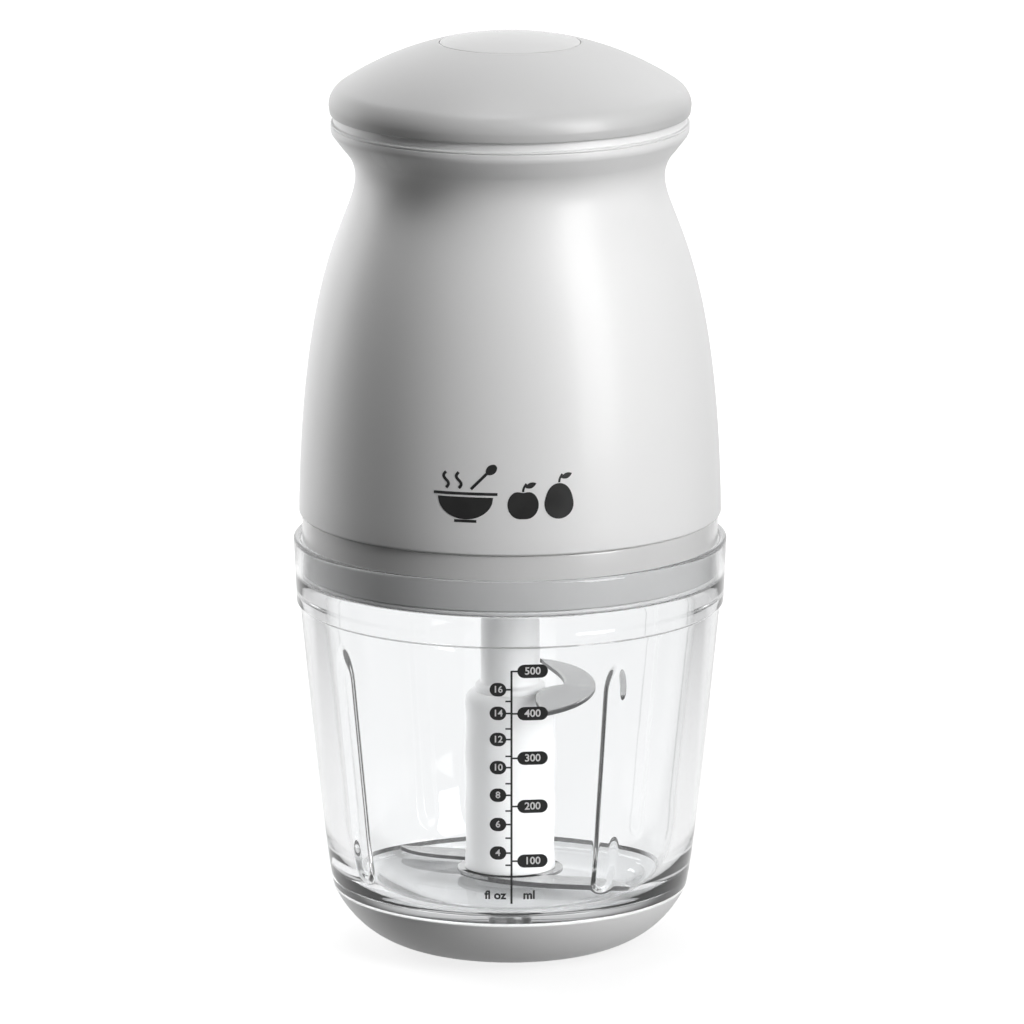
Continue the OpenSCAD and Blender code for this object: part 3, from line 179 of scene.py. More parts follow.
def ramp(tree, value, low, high, to_low=0.0, to_high=1.0, smooth=True):
    """Maps a value from one range to another."""
    made = node(tree, "ShaderNodeMapRange", {"interpolation_type": "SMOOTHSTEP" if smooth else "LINEAR"},
        Value=value, From_Min=low, From_Max=high, To_Min=to_low, To_Max=to_high)
    return made.outputs["Result"]


def mix(tree, factor, a, b):
    """Mixes two colours."""
    made = tree.nodes.new("ShaderNodeMix")
    made.data_type = "RGBA"
    for index, value in ((0, factor), (6, a), (7, b)):
        feed(tree, value, made.inputs[index])
    return made.outputs[2]


def group(name, inputs, outputs, kind="ShaderNodeTree"):
    """A node group with named sockets; inputs are (name, type, default)."""
    tree = bpy.data.node_groups.new(name, kind)
    for title, socket_type, default in inputs:
        socket = tree.interface.new_socket(title, in_out="INPUT", socket_type="NodeSocket" + socket_type)
        if default is not None:
            socket.default_value = default
    for title, socket_type in outputs:
        tree.interface.new_socket(title, in_out="OUTPUT", socket_type="NodeSocket" + socket_type)
    return tree, tree.nodes.new("NodeGroupInput").outputs, tree.nodes.new("NodeGroupOutput").inputs


def place(tree, shared, **inputs):
    """Places a shared effect in a material with its own values."""
    made = tree.nodes.new("ShaderNodeGroup")
    made.node_tree = shared
    for key, value in inputs.items():
        feed(tree, value, made.inputs[key.replace("_", " ")])
    return made.outputs


def vector(tree, operation, *values, give=0):
    """A Vector Math node's result; values are sockets or triples."""
    made = tree.nodes.new("ShaderNodeVectorMath")
    made.operation = operation
    for socket, value in zip(made.inputs, values):
        feed(tree, value, socket)
    return made.outputs[give]


def noise(tree, at, scale, detail, roughness=0.5, distortion=0.0):
    """Cloudy values round a half."""
    return node(tree, "ShaderNodeTexNoise", Vector=at, Scale=scale, Detail=detail, Roughness=roughness,
        Distortion=distortion).outputs["Fac"]


def object_point(tree):
    """The shaded point in the piece's own frame."""
    return tree.nodes.new("ShaderNodeTexCoord").outputs["Object"]


# ---------------------------------------------------------------- shared effects
def make_moulded_skin():
    """The fine grain and the slow cloudiness of a moulded surface."""
    tree, given, out = group("Moulded Skin",
        [("Colour", "Color", (0.8, 0.8, 0.8, 1)), ("Shade", "Color", (0.7, 0.7, 0.7, 1)),
         ("Cloud Scale", "Float", 18.0), ("Grain Scale", "Float", 1500.0),
         ("Roughness", "Float", 0.3), ("Spread", "Float", 0.05)],
        [("Colour", "Color"), ("Roughness", "Float"), ("Height", "Float")])
    at = object_point(tree)
    cloud = noise(tree, at, given["Cloud Scale"], 3.0)
    grain = noise(tree, at, given["Grain Scale"], 2.0, 0.6)
    colour = mix(tree, ramp(tree, cloud, 0.35, 0.65), given["Colour"], given["Shade"])
    rough = plus(tree, given["Roughness"], times(tree, given["Spread"],
        minus(tree, plus(tree, cloud, times(tree, grain, 0.5)), 0.75)))
    tree.links.new(colour, out["Colour"])
    tree.links.new(rough, out["Roughness"])
    tree.links.new(grain, out["Height"])
    return tree


def make_edge_tone():
    """How much of a convex edge a point stands on, for polish and rubbing."""
    tree, given, out = group("Edge Tone", [("Reach", "Float", 0.1)], [("Mask", "Float")])
    point = tree.nodes.new("ShaderNodeNewGeometry").outputs["Pointiness"]
    tree.links.new(ramp(tree, point, 0.5, plus(tree, given["Reach"], 0.5)), out["Mask"])
    return tree


def make_handling_marks():
    """Faint wipes and dust that only the roughness shows."""
    tree, given, out = group("Handling Marks",
        [("Scale", "Float", 30.0), ("Low", "Float", 0.0), ("High", "Float", 0.1)],
        [("Roughness", "Float"), ("Height", "Float")])
    at = object_point(tree)
    stretched = node(tree, "ShaderNodeMapping", Vector=at, Scale=(1.0, 1.0, 0.35)).outputs[0]
    wipe = noise(tree, stretched, given["Scale"], 5.0, 0.62, 0.6)
    tree.links.new(ramp(tree, wipe, 0.45, 0.75, given["Low"], given["High"]), out["Roughness"])
    tree.links.new(wipe, out["Height"])
    return tree


def make_brushed_metal():
    """Fine parallel lines left by grinding or turning."""
    tree, given, out = group("Brushed Metal",
        [("Colour", "Color", (0.6, 0.6, 0.6, 1)), ("Dark", "Color", (0.4, 0.4, 0.4, 1)),
         ("Stretch", "Vector", (1.0, 1.0, 1.0)), ("Line Scale", "Float", 900.0),
         ("Roughness", "Float", 0.25), ("Spread", "Float", 0.15)],
        [("Colour", "Color"), ("Roughness", "Float"), ("Height", "Float")])
    at = object_point(tree)
    along = vector(tree, "MULTIPLY", at, given["Stretch"])
    lines = noise(tree, along, given["Line Scale"], 4.0, 0.7)
    stain = noise(tree, at, 60.0, 2.0)
    tone = plus(tree, times(tree, lines, 0.7), times(tree, stain, 0.3))
    tree.links.new(mix(tree, ramp(tree, tone, 0.38, 0.62), given["Dark"], given["Colour"]), out["Colour"])
    tree.links.new(plus(tree, given["Roughness"], times(tree, given["Spread"],
        minus(tree, tone, 0.5))), out["Roughness"])
    tree.links.new(lines, out["Height"])
    return tree


MOULDED_SKIN = make_moulded_skin()
EDGE_TONE = make_edge_tone()
HANDLING_MARKS = make_handling_marks()
BRUSHED_METAL = make_brushed_metal()


# ---------------------------------------------------------------- finishes
EDGE_RUB, EDGE_POLISH = 0.4, 0.6     # how far edges go to their lighter colour
COAT_ROUGHNESS = 0.12
WAVE_CYCLE = 6.283                   # a wave texture repeats once in this many units
SHEET_T = 0.5 * MM                   # one stamping of a laminated stack
GLASS_IOR = 1.47
# a ray let out of the glass after many bounces passes a grey of 0.60: painted shade on the glass's edges and
# foot
GLASS_TINT, TRAPPED_PAINTED_SHADE = (0.986, 0.988, 0.99), 0.60
TRAPPED_DEPTH = 4.5                  # bounces after which a ray is let out of the glass


def new_finish(name):
    material = bpy.data.materials.new(name)
    material.use_nodes = True
    return material, material.node_tree, material.node_tree.nodes["Principled BSDF"]


def bump(tree, bsdf, height, depth, strength=1.0):
    """depth is the relief's height in metres."""
    made = node(tree, "ShaderNodeBump", Height=height, Strength=strength, Distance=depth)
    tree.links.new(made.outputs[0], bsdf.inputs["Normal"])


def dress(material, colour, roughness, height, depth, metallic=0.0, coat=0.0):
    """Gives a finish its colour, roughness and relief; depth is in metres."""
    tree = material.node_tree
    bsdf = tree.nodes["Principled BSDF"]
    tree.links.new(colour, bsdf.inputs["Base Color"])
    tree.links.new(roughness, bsdf.inputs["Roughness"])
    bsdf.inputs["Metallic"].default_value = metallic
    bsdf.inputs["Coat Weight"].default_value = coat
    bump(tree, bsdf, height, depth)
    return material


def tone(colour):
    """An opaque colour from a grey level or from its red, green and blue."""
    return (*colour, 1.0) if isinstance(colour, tuple) else (colour, colour, colour, 1.0)


def moulded(name, colour, shade, roughness, spread=0.05, cloud=18.0, grain=1500.0, depth=0.004, coat=0.0):
    """Moulded plastic or rubber: cloudy colour, grain whose depth is in mm, edges a little lighter."""
    material, tree, bsdf = new_finish(name)
    colour, shade = tone(colour), tone(shade)
    skin = place(tree, MOULDED_SKIN, Colour=colour, Shade=shade, Cloud_Scale=cloud, Grain_Scale=grain,
        Roughness=roughness, Spread=spread)
    light = tuple(min(1.0, c * 1.08 + 0.01) for c in colour[:3]) + (1.0,)
    rubbed = times(tree, place(tree, EDGE_TONE, Reach=0.08)["Mask"], EDGE_RUB)
    bsdf.inputs["Coat Roughness"].default_value = COAT_ROUGHNESS
    colour = mix(tree, rubbed, skin["Colour"], light)
    return dress(material, colour, skin["Roughness"], skin["Height"], depth * MM, coat=coat)


def metal(name, colour, dark, roughness, spread, stretch, lines, depth=0.003):
    """Ground, turned or cast metal with polished edges; the depth of its lines is in mm."""
    material, tree, _ = new_finish(name)
    colour, dark = tone(colour), tone(dark)
    skin = place(tree, BRUSHED_METAL, Colour=colour, Dark=dark, Stretch=stretch, Line_Scale=lines,
        Roughness=roughness, Spread=spread)
    worn = place(tree, EDGE_TONE, Reach=0.12)["Mask"]
    bright = tuple(min(1.0, c * 1.25) for c in colour[:3]) + (1.0,)
    polished = times(tree, worn, EDGE_POLISH)
    colour = mix(tree, polished, skin["Colour"], bright)
    return dress(material, colour, skin["Roughness"], skin["Height"], depth * MM, metallic=1.0)


def laminated(name, colour, gap):
    """A stack of thin stampings: dark lines between sheets along Z."""
    material, tree, _ = new_finish(name)
    at = object_point(tree)
    sheets = node(tree, "ShaderNodeTexWave", {"bands_direction": "Z", "wave_profile": "SAW"},
        Vector=at, Scale=1.0 / SHEET_T / WAVE_CYCLE, Distortion=0.0).outputs["Fac"]
    seam = ramp(tree, sheets, 0.0, 0.3)
    rough = ramp(tree, seam, 0.0, 1.0, 0.6, 0.35)
    return dress(material, mix(tree, seam, gap, colour), rough, seam, 0.03 * MM, metallic=0.8)


def wound(name, colour, dark, pitch):
    """Enamelled wire laid in turns."""
    material, tree, _ = new_finish(name)
    at = object_point(tree)
    turns = node(tree, "ShaderNodeTexWave", {"bands_direction": "DIAGONAL", "wave_profile": "SIN"},
        Vector=at, Scale=1.0 / pitch / WAVE_CYCLE, Distortion=0.4, Detail=1.0).outputs["Fac"]
    rough = ramp(tree, turns, 0.0, 1.0, 0.45, 0.22)
    return dress(material, mix(tree, turns, dark, colour), rough, turns, 0.1 * MM, metallic=0.7, coat=0.5)


def pressed_glass(name):
    """Clear glass with a faint cool body; lamps shine through it, the lid's light leaves
    through its collar, and a ray that has gone round inside it for long is let out through a painted grey
    shade."""
    material, tree, bsdf = new_finish(name)
    marks = place(tree, HANDLING_MARKS, Scale=28.0, Low=0.0, High=0.025)
    bsdf.inputs["Base Color"].default_value = (0.99, 0.996, 1.0, 1.0)
    bsdf.inputs["Transmission Weight"].default_value = 1.0
    bsdf.inputs["IOR"].default_value = GLASS_IOR
    tree.links.new(marks["Roughness"], bsdf.inputs["Roughness"])
    bump(tree, bsdf, marks["Height"], 0.02 * MM, 0.35)
    light_path = tree.nodes.new("ShaderNodeLightPath").outputs
    clear = minus(tree, 1.0, maths(tree, "GREATER_THAN", light_path["Diffuse Depth"], 0.5))
    clear = times(tree, clear, minus(tree, 1.0, light_path["Is Shadow Ray"]))
    # trapped rays leave through the painted grey shade rather than clear glass
    trapped = times(tree, clear, maths(tree, "GREATER_THAN", light_path["Ray Depth"], TRAPPED_DEPTH))
    way_out = node(tree, "ShaderNodeBsdfTransparent",
        Color=mix(tree, trapped, tone(GLASS_TINT), tone(TRAPPED_PAINTED_SHADE)))
    height = node(tree, "ShaderNodeSeparateXYZ", Vector=object_point(tree)).outputs["Z"]
    beside_lid = times(tree, maths(tree, "GREATER_THAN", height, COLLAR_Z),
        light_path["Is Diffuse Ray"])
    passing = maths(tree, "MAXIMUM", maths(tree, "MAXIMUM", light_path["Is Shadow Ray"], beside_lid), trapped)
    through = node(tree, "ShaderNodeMixShader", _0=passing,
        _1=bsdf.outputs[0], _2=way_out.outputs[0])
    tree.links.new(through.outputs[0], tree.nodes["Material Output"].inputs["Surface"])
    body = node(tree, "ShaderNodeVolumeAbsorption", Color=(0.93, 0.94, 0.95, 1.0), Density=5.0)
    tree.links.new(body.outputs[0], tree.nodes["Material Output"].inputs["Volume"])
    return material


# slot: name, colour, cloudy shade, roughness, its spread, cloud scale, grain scale, grain depth in mm, coat
MOULDED = {
    "boot_silicone": ("soft_silicone_grey", 0.84, 0.82, 0.42, 0.08, 26.0, 2600.0, 0.006),
    "hub_white": ("hub_plastic_white", 0.84, 0.82, 0.30, 0.05, 18.0, 1500.0, 0.002, 0.1),
    "bush_nylon": ("bush_nylon", (0.74, 0.71, 0.60), (0.70, 0.66, 0.55), 0.45, 0.08),
    "lid_grey": ("lid_plastic_grey", 0.70, 0.68, 0.22, 0.04, 20.0, 1400.0, 0.002, 0.4),
    "seal_silicone": ("seal_silicone", 0.78, 0.74, 0.38, 0.08, 30.0, 2200.0),
    "housing_white": ("housing_plastic_white", 0.84, 0.83, 0.42, 0.03, 9.0, 900.0, 0.0015, 0.1),
    "cover_grey": ("cover_plastic_grey", 0.56, 0.53, 0.4, 0.08, 18.0, 1200.0, 0.008),
    "gear_case_plastic": ("gear_case_plastic", (0.0765, 0.085, 0.0935), 0.07, 0.45, 0.1, 24.0, 1100.0, 0.012),
    "carbon": ("pressed_carbon", 0.025, 0.04, 0.6, 0.15, 80.0, 1800.0, 0.02),
    "spider_plastic": ("spider_plastic", 0.02, 0.028, 0.45, 0.1, 24.0, 1200.0, 0.01),
    "board_green": ("board_laminate", (0.02, 0.14, 0.045), (0.015, 0.10, 0.03), 0.3, 0.1, 90.0, 2600.0,
    0.006),
    "suppressor_yellow": ("capacitor_case", (0.75, 0.45, 0.03), (0.68, 0.40, 0.03), 0.25, 0.06),
    "bush_rubber": ("cord_bush_rubber", 0.54, 0.50, 0.5, 0.1, 40.0, 2400.0, 0.01),
    "switch_black": ("switch_plastic_black", 0.018, 0.024, 0.4, 0.1),
    "lead_red": ("lead_insulation_red", (0.42, 0.015, 0.012), (0.36, 0.012, 0.01), 0.35, 0.08),
    "fan_plastic": ("fan_plastic", 0.68, 0.64, 0.4, 0.08),
    "gear_nylon": ("gear_nylon", (0.74, 0.71, 0.58), (0.70, 0.66, 0.53), 0.36, 0.08),
    "plunger_red": ("plunger_plastic_red", (0.45, 0.02, 0.015), (0.40, 0.018, 0.014), 0.35, 0.08),
    "button_grey": ("button_plastic_grey", 0.60, 0.585, 0.38, 0.05, 14.0, 1800.0, 0.004, 0.1),
    "inlay_grey": ("inlay_plastic_grey", 0.625, 0.61, 0.26, 0.04, 14.0, 1400.0, 0.002, 0.3),
}
# slot: name, colour, dark colour, roughness, its spread, stretch of the lines, their scale and depth in mm
METAL = {
    "stainless_steel": ("ground_blade_steel", 0.50, 0.40, 0.22, 0.16, (1.0, 14.0, 1.0), 260.0),
    "drive_steel": ("turned_drive_steel", 0.55, 0.42, 0.25, 0.2, (1.0, 1.0, 8.0), 700.0),
    "screw_steel": ("zinc_screw_steel", 0.58, 0.44, 0.28, 0.2, (1.0, 1.0, 3.0), 1200.0),
    "bracket_aluminium": ("cast_bracket_aluminium", 0.56, 0.46, 0.42, 0.2, (1.0, 1.0, 1.0), 500.0, 0.012),
    "bronze": ("sintered_bronze", (0.52, 0.30, 0.12), (0.36, 0.20, 0.08), 0.42, 0.25, (1.0, 1.0, 1.0),
    900.0, 0.01),
    "holder_brass": ("stamped_brass", (0.66, 0.44, 0.16), (0.48, 0.30, 0.10), 0.28, 0.2, (1.0, 1.0, 10.0),
    500.0),
    "carrier_metal": ("sintered_carrier_steel", 0.34, 0.24, 0.45, 0.25, (1.0, 1.0, 1.0), 900.0, 0.012),
    "spring_steel": ("spring_wire_steel", 0.55, 0.42, 0.22, 0.15, (1.0, 1.0, 4.0), 900.0),
}
FINISH = {
    "bowl_glass": pressed_glass("pressed_bowl_glass"),
    "lamination_steel": laminated("laminated_steel", tone(0.26), tone(0.05)),
    "winding_copper": wound("enamelled_copper_wire", tone((0.50, 0.16, 0.05)), tone((0.14, 0.04, 0.015)),
    0.45 * MM),
}
FINISH.update({slot: moulded(*values) for slot, values in MOULDED.items()})
FINISH.update({slot: metal(*values) for slot, values in METAL.items()})
# the blades' edge faces: ground steel darkened to 0.15, a painted shade for their dark front edge
EDGE_STEEL_PAINTED_SHADE = metal("ground_edge_steel_painted_shade", 0.15, 0.11, 0.30, 0.1, (1.0, 1.0, 12.0), 400.0)
INK_BLACK = moulded("scale_ink_black", 0.012, 0.02, 0.32, 0.1, 120.0, 3000.0)
INK_WHITE = moulded("scale_ink_white", 0.80, 0.76, 0.35, 0.1, 120.0, 3000.0)

for part in frame["record"]["subparts"]:
    surface = frame["nodes"][part["node"]].data
    surface.materials.clear()
    surface.materials.append(FINISH[part["material_slot"]])


# ---------------------------------------------------------------- stage and light
FRONT_LEVEL, SIDE_LEVEL, BACK_LIGHT, INSIDE_LEVEL = 0.30, 0.12, 0.10, 0.60
FLOOR_HALF = 6.0
FLOOR_TONES = tone(0.235), tone(0.245)                       # what the eye sees under the glow
NEAR_BOUNCE, FAR_BOUNCE, MIRRORED_BOUNCE = 0.22, 0.05, 0.10  # the floor to all other rays
BOUNCE_NEAR_R, BOUNCE_FAR_R = 0.055, 0.13
MIRRORED_SIDE, MIRRORED_BEHIND = 0.90, 0.80
LAMP_AIM_Z = 0.14


def make_surround():
    """What gloss and glass see round the object: white behind, dim in front, dark panels beside."""
    tree, given, out = group("Studio Surround", [("Direction", "Vector", None)], [("Level", "Float")])
    level_way = vector(tree, "MULTIPLY", given["Direction"], (1, 1, 0))
    way = vector(tree, "NORMALIZE", level_way)

    def facing(azimuth):
        a = math.radians(azimuth)
        return vector(tree, "DOT_PRODUCT", way, (math.sin(a), -math.cos(a), 0.0), give="Value")

    backdrop = ramp(tree, facing(180), 0.60, 0.92, SIDE_LEVEL, 1.0)
    front = ramp(tree, facing(0), 0.1, 0.8, SIDE_LEVEL, FRONT_LEVEL)
    tree.links.new(maths(tree, "MAXIMUM", backdrop, front), out["Level"])
    return tree


def ray_kinds(tree):
    """Masks for the eye's own rays, those by way of gloss and glass alone, and scattered ones in glass."""
    seen = tree.nodes.new("ShaderNodeLightPath").outputs
    mirrored = maths(tree, "MAXIMUM", seen["Is Glossy Ray"], seen["Is Transmission Ray"])
    scattered = maths(tree, "GREATER_THAN", seen["Diffuse Depth"], 0.5)
    inside = times(tree, scattered, seen["Is Transmission Ray"])
    mirrored = times(tree, mirrored, minus(tree, 1.0, scattered))
    return seen["Is Camera Ray"], mirrored, inside


def make_floor():
    """A plain white floor: white to the eye and in glass, with the object's soft shadow."""
    mesh = bpy.data.meshes.new("studio_floor")
    corners = [(x * FLOOR_HALF, y * FLOOR_HALF, 0) for x, y in ((-1, -1), (1, -1), (1, 1), (-1, 1))]
    mesh.from_pydata(corners, [], [(0, 1, 2, 3)])
    floor = add_object("studio_floor", mesh)
    material, tree, bsdf = new_finish("studio_floor_white")
    at = object_point(tree)
    fleck = noise(tree, at, 40.0, 3.0)
    bsdf.inputs["Roughness"].default_value = 0.9
    bsdf.inputs["Specular IOR Level"].default_value = 0.0
    eye, mirrored, inside = ray_kinds(tree)
    away = vector(tree, "LENGTH", at, give="Value")
    bounce = mix(tree, ramp(tree, away, BOUNCE_NEAR_R, BOUNCE_FAR_R), tone(NEAR_BOUNCE), tone(FAR_BOUNCE))
    bounce = mix(tree, mirrored, bounce, tone(MIRRORED_BOUNCE))
    seen = mix(tree, fleck, *FLOOR_TONES)
    tree.links.new(mix(tree, eye, bounce, seen), bsdf.inputs["Base Color"])
    white = ramp(tree, away, 0.10, 0.60, 0.82, 1.0)
    side = place(tree, SURROUND, Direction=at)["Level"]
    behind = ramp(tree, node(tree, "ShaderNodeSeparateXYZ", Vector=at).outputs["Y"], -0.22, -0.04)
    bright = times(tree, behind, ramp(tree, away, 0.60, 0.12, 0.0, MIRRORED_BEHIND))
    side = maths(tree, "MAXIMUM", times(tree, side, MIRRORED_SIDE), bright)
    level = plus(tree, times(tree, white, eye), times(tree, mirrored, side))
    level = plus(tree, level, times(tree, inside, INSIDE_LEVEL))
    glow = node(tree, "ShaderNodeEmission", Color=tone(1.0), Strength=level)
    both = node(tree, "ShaderNodeAddShader", _0=bsdf.outputs[0], _1=glow.outputs[0])
    tree.links.new(both.outputs[0], tree.nodes["Material Output"].inputs["Surface"])
    mesh.materials.append(material)


def softbox(name, azimuth, elevation, distance, size, strength):
    """A rectangular lamp that faces the object; strength 1 shows a facing colour as written.

    Azimuth 0 is the camera's side and 90 its right.
    """
    data = bpy.data.lights.new(name, "AREA")
    data.shape = "RECTANGLE"
    data.size, data.size_y = size
    data.energy = strength * math.pi ** 2 * distance ** 2
    lamp = add_object(name, data)
    a, e = math.radians(azimuth), math.radians(elevation)
    away = Vector((math.sin(a) * math.cos(e), -math.cos(a) * math.cos(e), math.sin(e)))
    lamp.location = Vector((0, 0, LAMP_AIM_Z)) + distance * away
    lamp.rotation_euler = away.to_track_quat("Z", "Y").to_euler()
    return lamp


def make_world():
    """White to the eye; the surround to gloss and glass; a soft light from behind to the rest."""
    world = bpy.data.worlds.new("studio_world")
    bpy.context.scene.world = world
    world.use_nodes = True
    tree = world.node_tree
    towards = tree.nodes.new("ShaderNodeTexCoord").outputs["Generated"]
    eye, mirrored, inside = ray_kinds(tree)
    side = place(tree, SURROUND, Direction=towards)["Level"]
    behind = node(tree, "ShaderNodeSeparateXYZ", Vector=towards).outputs["Y"]
    soft = ramp(tree, behind, -0.1, 0.7, 0.02, BACK_LIGHT)
    strength = maths(tree, "MAXIMUM", soft, times(tree, mirrored, side))
    strength = maths(tree, "MAXIMUM", strength, times(tree, inside, INSIDE_LEVEL))
    tree.links.new(maths(tree, "MAXIMUM", strength, eye), tree.nodes["Background"].inputs["Strength"])
    tree.nodes["Background"].inputs["Color"].default_value = (1, 1, 1, 1)


SURROUND = make_surround()
make_floor()
make_world()
softbox("key_softbox", 50, 4, 1.7, (0.7, 1.8), 1.10)
softbox("fill_softbox", 46, 38, 1.7, (0.9, 0.9), 0.36)
softbox("top_softbox", -60, 80, 1.7, (0.8, 0.8), 0.24)
back = softbox("back_softbox", 175, 40, 1.6, (1.4, 0.9), 0.50)
back.visible_glossy = False
rim = softbox("rim_softbox", -128, 10, 0.9, (0.60, 0.55), 1.15)
rim.visible_transmission = False
rim.visible_glossy = False


# ---------------------------------------------------------------- shape helpers
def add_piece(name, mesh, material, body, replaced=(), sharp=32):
    """Finishes a mesh as a piece of the object that rides on a body."""
    piece = add_object(name, mesh)
    if not mesh.materials:
        mesh.materials.append(material)
    mesh.shade_smooth()
    mesh.set_sharp_from_angle(angle=math.radians(sharp))
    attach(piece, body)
    if replaced:
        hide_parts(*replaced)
    return piece


def plain_mesh(name, built):
    """Turns a bmesh into a mesh as it stands."""
    mesh = bpy.data.meshes.new(name)
    built.to_mesh(mesh)
    built.free()
    return mesh


def to_mesh(name, built):
    """Turns a bmesh into a mesh whose doubles are merged and whose faces point outwards."""
    bmesh.ops.remove_doubles(built, verts=built.verts, dist=1e-7)
    bmesh.ops.recalc_face_normals(built, faces=built.faces)
    return plain_mesh(name, built)


def curve_points(a, b, c, d, count):
    """Points on a cubic curve from a to d."""
    points = []
    for i in range(count + 1):
        t = i / count
        s = 1 - t
        points.append(tuple(s ** 3 * p + 3 * s * s * t * q + 3 * s * t * t * u + t ** 3 * v
            for p, q, u, v in zip(a, b, c, d)))
    return points


def arc_points(centre, radius, start, end, count):
    """Points on an arc; angles in degrees."""
    angles = [math.radians(start + (end - start) * i / count) for i in range(count + 1)]
    return [(centre[0] + radius * math.cos(t), centre[1] + radius * math.sin(t)) for t in angles]


def eased(outline, steps=5, closed=True):
    """Rounds the corners of an outline; a point is (x, y) or (x, y, corner radius)."""
    made, count = [], len(outline)
    for i, corner in enumerate(outline):
        radius = corner[2] if len(corner) > 2 else 0
        p = Vector(corner[:2])
        if not radius or (not closed and i in (0, count - 1)):
            made.append(tuple(p))
            continue
        to_last = Vector(outline[i - 1][:2]) - p
        to_next = Vector(outline[(i + 1) % count][:2]) - p
        half = to_last.angle(to_next) / 2
        cut = min(radius / math.tan(half), 0.48 * to_last.length, 0.48 * to_next.length)
        radius = cut * math.tan(half)
        start, end = p + to_last.normalized() * cut, p + to_next.normalized() * cut
        centre = p + (to_last.normalized() + to_next.normalized()).normalized() * (radius / math.sin(half))
        u, v = start - centre, end - centre
        for k in range(steps + 1):
            w = u.lerp(v, k / steps)
            made.append(tuple(centre + w.normalized() * radius))
    return made


def turned(outline, columns=None, count=192):
    """A bmesh turned about Z from an outline of (radius, height), closed on itself."""
    columns = columns or [2 * math.pi * i / count for i in range(count)]
    built = bmesh.new()
    rings = []
    for radius, height in outline:
        if radius < 1e-7:
            rings.append([built.verts.new((0, 0, height))] * len(columns))
        else:
            rings.append([built.verts.new((radius * math.cos(t), radius * math.sin(t), height))
                for t in columns])
    for ring, following in zip(rings, rings[1:] + rings[:1]):
        for i in range(len(columns)):
            j = (i + 1) % len(columns)
            corners = []
            for vertex in (ring[i], ring[j], following[j], following[i]):
                if vertex not in corners:
                    corners.append(vertex)
            if len(corners) > 2:
                built.faces.new(corners)
    return built


def turned_piece(name, outline, body, slot, replaced=(), count=192, sharp=32):
    mesh = to_mesh(name, turned(outline, count=count))
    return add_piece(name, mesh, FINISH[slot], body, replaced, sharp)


# ---------------------------------------------------------------- the bowl
def bowl_inner_r(z):
    return FLOOR_R + (SEAT_IN_R - FLOOR_R) * (z - floor_z) / (seat_z - floor_z)


wall_run = COLLAR_Z - boot_top
wall_top_r = COLLAR_FOOT_R - COLLAR_STEP
BOWL_WALL = curve_points((boot_rim_r, boot_top), (boot_rim_r + 0.03 * wall_run, boot_top + 0.13 * wall_run),
    (wall_top_r - 0.032 * wall_run, COLLAR_Z - 0.32 * wall_run), (wall_top_r, COLLAR_Z), 48)
FOOT_R, BOOT_R, BOOT_RISE = 26 * MM, rim_r - 7.9 * MM, 30 * MM
BOOT_FLOOR_T, BOOT_SIDE_T = 3.6 * MM, 1.7 * MM


def boot_curve(side, floor_t, top, count):
    """The boot's quarter ellipse, from its foot up to a height."""
    rise = BOOT_RISE - floor_t
    last = math.acos(max(-1, (BOOT_RISE - top) / rise))
    return [(FOOT_R + (BOOT_R - FOOT_R - side) * math.sin(last * i / count),
        BOOT_RISE - rise * math.cos(last * i / count)) for i in range(count + 1)]


def growth(name, inputs):
    """A Geometry Nodes group that also takes a geometry and a material and gives a geometry."""
    return group(name, [("Geometry", "Geometry", None), *inputs, ("Material", "Material", None)],
        [("Geometry", "Geometry")], "GeometryNodeTree")


def coated(tree, geometry, material, out):
    """Ends a Geometry Nodes tree: real geometry in one material."""
    real = node(tree, "GeometryNodeRealizeInstances", Geometry=geometry)
    finished = node(tree, "GeometryNodeSetMaterial", Geometry=real.outputs[0], Material=material)
    tree.links.new(finished.outputs[0], out["Geometry"])
    return tree


def rib_tree():
    """Raises rounded ribs on the inner wall: vertices whose "inner" is 1 move to the axis."""
    tree, given, out = growth("Bowl Ribs",
        [("Rib Count", "Float", 4.0), ("First Angle", "Float", 0.5),
         ("Rib Width", "Float", 0.008), ("Rib Height", "Float", 0.003), ("Low", "Float", 0.02),
         ("Top", "Float", 0.09), ("Fade", "Float", 0.012)])
    position = tree.nodes.new("GeometryNodeInputPosition").outputs[0]
    spot = node(tree, "ShaderNodeSeparateXYZ", Vector=position).outputs
    radius = maths(tree, "SQRT", plus(tree, times(tree, spot[0], spot[0]),
        times(tree, spot[1], spot[1])))
    turn = maths(tree, "ARCTAN2", spot[1], spot[0])
    pitch = maths(tree, "DIVIDE", 2 * math.pi, given["Rib Count"])
    half_pitch = times(tree, pitch, 0.5)
    off = maths(tree, "WRAP", minus(tree, turn, given["First Angle"]), half_pitch,
        times(tree, half_pitch, -1.0))
    across = times(tree, off, radius)
    half = times(tree, given["Rib Width"], 0.5)
    below = maths(tree, "MAXIMUM", minus(tree, plus(tree, given["Low"], half), spot[2]), 0.0)
    above = maths(tree, "MAXIMUM", minus(tree, spot[2], minus(tree, given["Top"],
        given["Fade"])), 0.0)
    above = times(tree, above, maths(tree, "DIVIDE", half, given["Fade"]))
    along = plus(tree, below, above)
    reach = maths(tree, "SQRT", plus(tree, times(tree, across, across),
        times(tree, along, along)))
    share = maths(tree, "DIVIDE", reach, half)
    crest = ramp(tree, share, 1.0, 0.40)
    inner = node(tree, "GeometryNodeInputNamedAttribute", {"data_type": "FLOAT"}, Name="inner")
    lift = times(tree, times(tree, crest, given["Rib Height"]), inner.outputs["Attribute"])
    scale = maths(tree, "DIVIDE", times(tree, lift, -1.0), maths(tree, "MAXIMUM", radius, 1e-5))
    offset = node(tree, "ShaderNodeCombineXYZ", X=times(tree, spot[0], scale),
        Y=times(tree, spot[1], scale))
    moved = node(tree, "GeometryNodeSetPosition", Geometry=given["Geometry"], Offset=offset.outputs[0])
    return coated(tree, moved.outputs[0], given["Material"], out)


